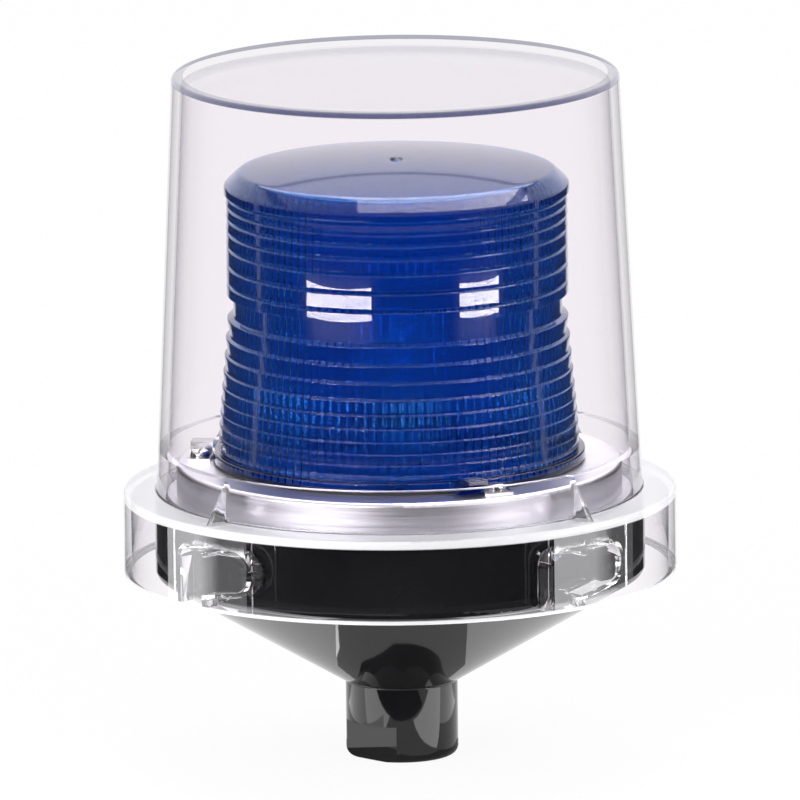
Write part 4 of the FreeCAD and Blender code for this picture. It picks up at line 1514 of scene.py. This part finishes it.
def level_polygon_card(name: str, radius: float, sides: int, height: float, glow: float) -> Mirrored:
    """A many-sided card that lies level on the floor round the hub.

    Args:
        name: Its name.
        radius: Radius of its corners in metres.
        sides: Number of its sides.
        height: Its height in metres.
        glow: What it gives back.

    Returns:
        The card.
    """
    angles = [math.pi * (2 * step + 1) / sides for step in range(sides)]
    verts = [(radius * math.cos(angle), radius * math.sin(angle), height) for angle in angles]
    return Mirrored(name, verts, [tuple(range(sides))], glow)


@dataclass
class Studio:
    """Floor, surroundings, lamps, and the cloths and cards that the glossy faces mirror."""

    floor_half: float = 12.0
    floor_z: float = -0.0002
    floor_colour: Colour = (0.85, 0.85, 0.85)
    floor_fade: float = 0.93
    surroundings: float = 0.75
    lamps: tuple[Softbox, ...] = (
        Softbox("window_left", -36.7, 0.262, 0.1255, 0.20, 0.021, 0.42),
        Softbox("window_right", 51.6, 0.272, 0.1255, 0.131, 0.021, 0.28),
        Softbox("overhead_back", 180.0, 1.1, 1.6, 1.6, 1.2, 14.0),
    )
    mirrored: tuple[Mirrored, ...] = (
        cloth("cloth_front", -97.0, 97.0),
        cloth("cloth_left", -101.0, -150.0),
        cloth("cloth_right", 101.0, 150.0),
        Mirrored("card_left", [(-0.028, -0.045, 0.0004), (-0.028, -0.0035, 0.0004),
                               (-0.028, -0.0035, 0.0095), (-0.028, -0.045, 0.0095)],
                 [(0, 1, 2, 3)], 2.5),
        level_card("card_right", (0.030, -0.080), (0.13, -0.020), 0.0004, 5.2),
        level_card("card_left_floor", (-0.16, -0.085), (-0.036, -0.028), 0.0004, 4.6),
        level_card("card_right_back", (0.07, -0.02), (0.18, 0.06), 0.0004, 2.5),
        level_card("card_left_back", (-0.18, -0.028), (-0.07, 0.06), 0.0004, 2.5),
        level_card("card_front_dark", (-0.10, -0.20), (0.07, -0.085), 0.0003, 0.0),
        level_card("card_overhead", (-0.20, -0.16), (0.72, 0.52), 0.90, 8.0, True),
        # A dark card round the hub that mirrored rays alone meet: the cone mirrors it as a dark
        # patch.
        level_polygon_card("dark_patch_round_hub", 0.034, 6, 0.0002, 0.30),
    )

    def world(self) -> None:
        """White where it is seen, and a plain level of light elsewhere."""
        world = bpy.data.worlds.new("studio")
        bpy.context.scene.world = world
        world.use_nodes = True
        world.node_tree.nodes.clear()
        tree = Graph(world.node_tree)
        level = tree.ramp(seen_directly(tree), 0.0, 1.0, self.surroundings, 1.0)
        back = tree.node("ShaderNodeBackground", {"Color": WHITE, "Strength": level})
        tree.node("ShaderNodeOutputWorld", {"Surface": back.outputs[0]})

    def floor(self) -> None:
        """A plain pale floor that keeps a faint shadow."""
        half = self.floor_half
        mesh = bpy.data.meshes.new("floor")
        mesh.from_pydata([(-half, -half, 0.0), (half, -half, 0.0), (half, half, 0.0),
                          (-half, half, 0.0)], [], [(0, 1, 2, 3)])
        floor = new_object("floor", mesh)
        floor.location.z = self.floor_z
        finish = FloorFinish("pale_floor", self.floor_colour, self.floor_fade)
        mesh.materials.append(finish.build())

    def build(self) -> None:
        """Build it all."""
        self.world()
        self.floor()
        for piece in (*self.mirrored, *self.lamps):
            piece.build()


@dataclass
class Viewpoint:
    """The photograph's camera."""

    elevation: float = 11.3
    distance: float = 6.0
    focal_length: float = 807.5
    sensor: float = 36.0
    aim_x: float = 0.44
    aim_z: float = 120.6
    roll: float = 0.61
    far: float = 100.0

    def build(self) -> None:
        """Place the camera."""
        data = bpy.data.cameras.new("camera")
        data.lens = self.focal_length
        data.sensor_width = self.sensor
        data.clip_end = self.far
        camera = bpy.data.objects.new("camera", data)
        angle = math.radians(self.elevation)
        away = Vector((0.0, -math.cos(angle), math.sin(angle)))
        target = Vector((self.aim_x * MM, 0.0, self.aim_z * MM))
        camera.location = target + away * self.distance
        look = (-away).to_track_quat("-Z", "Y").to_matrix()
        roll = Matrix.Rotation(math.radians(-self.roll), 3, "Z")
        camera.rotation_euler = (look @ roll).to_euler()
        bpy.context.scene.collection.objects.link(camera)
        bpy.context.scene.camera = camera


def plain(box: Iterable[Iterable[float]]) -> list[list[float]]:
    """A box as plain lists of numbers."""
    return [[float(value) for value in corner] for corner in box]


def main() -> None:
    """Build the studio and dress the part."""
    logging.basicConfig(level=logging.INFO, format="%(message)s")
    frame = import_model()
    bpy.context.scene.view_settings.view_transform = "Standard"
    paint = Paintbox()
    Viewpoint().build()
    Studio().build()
    CadFinishes().dress(frame, paint)
    BoreThread().dress(paint)
    BlueLens().dress(paint)
    ClearDome().dress(frame, paint)


if __name__ == "__main__":
    main()
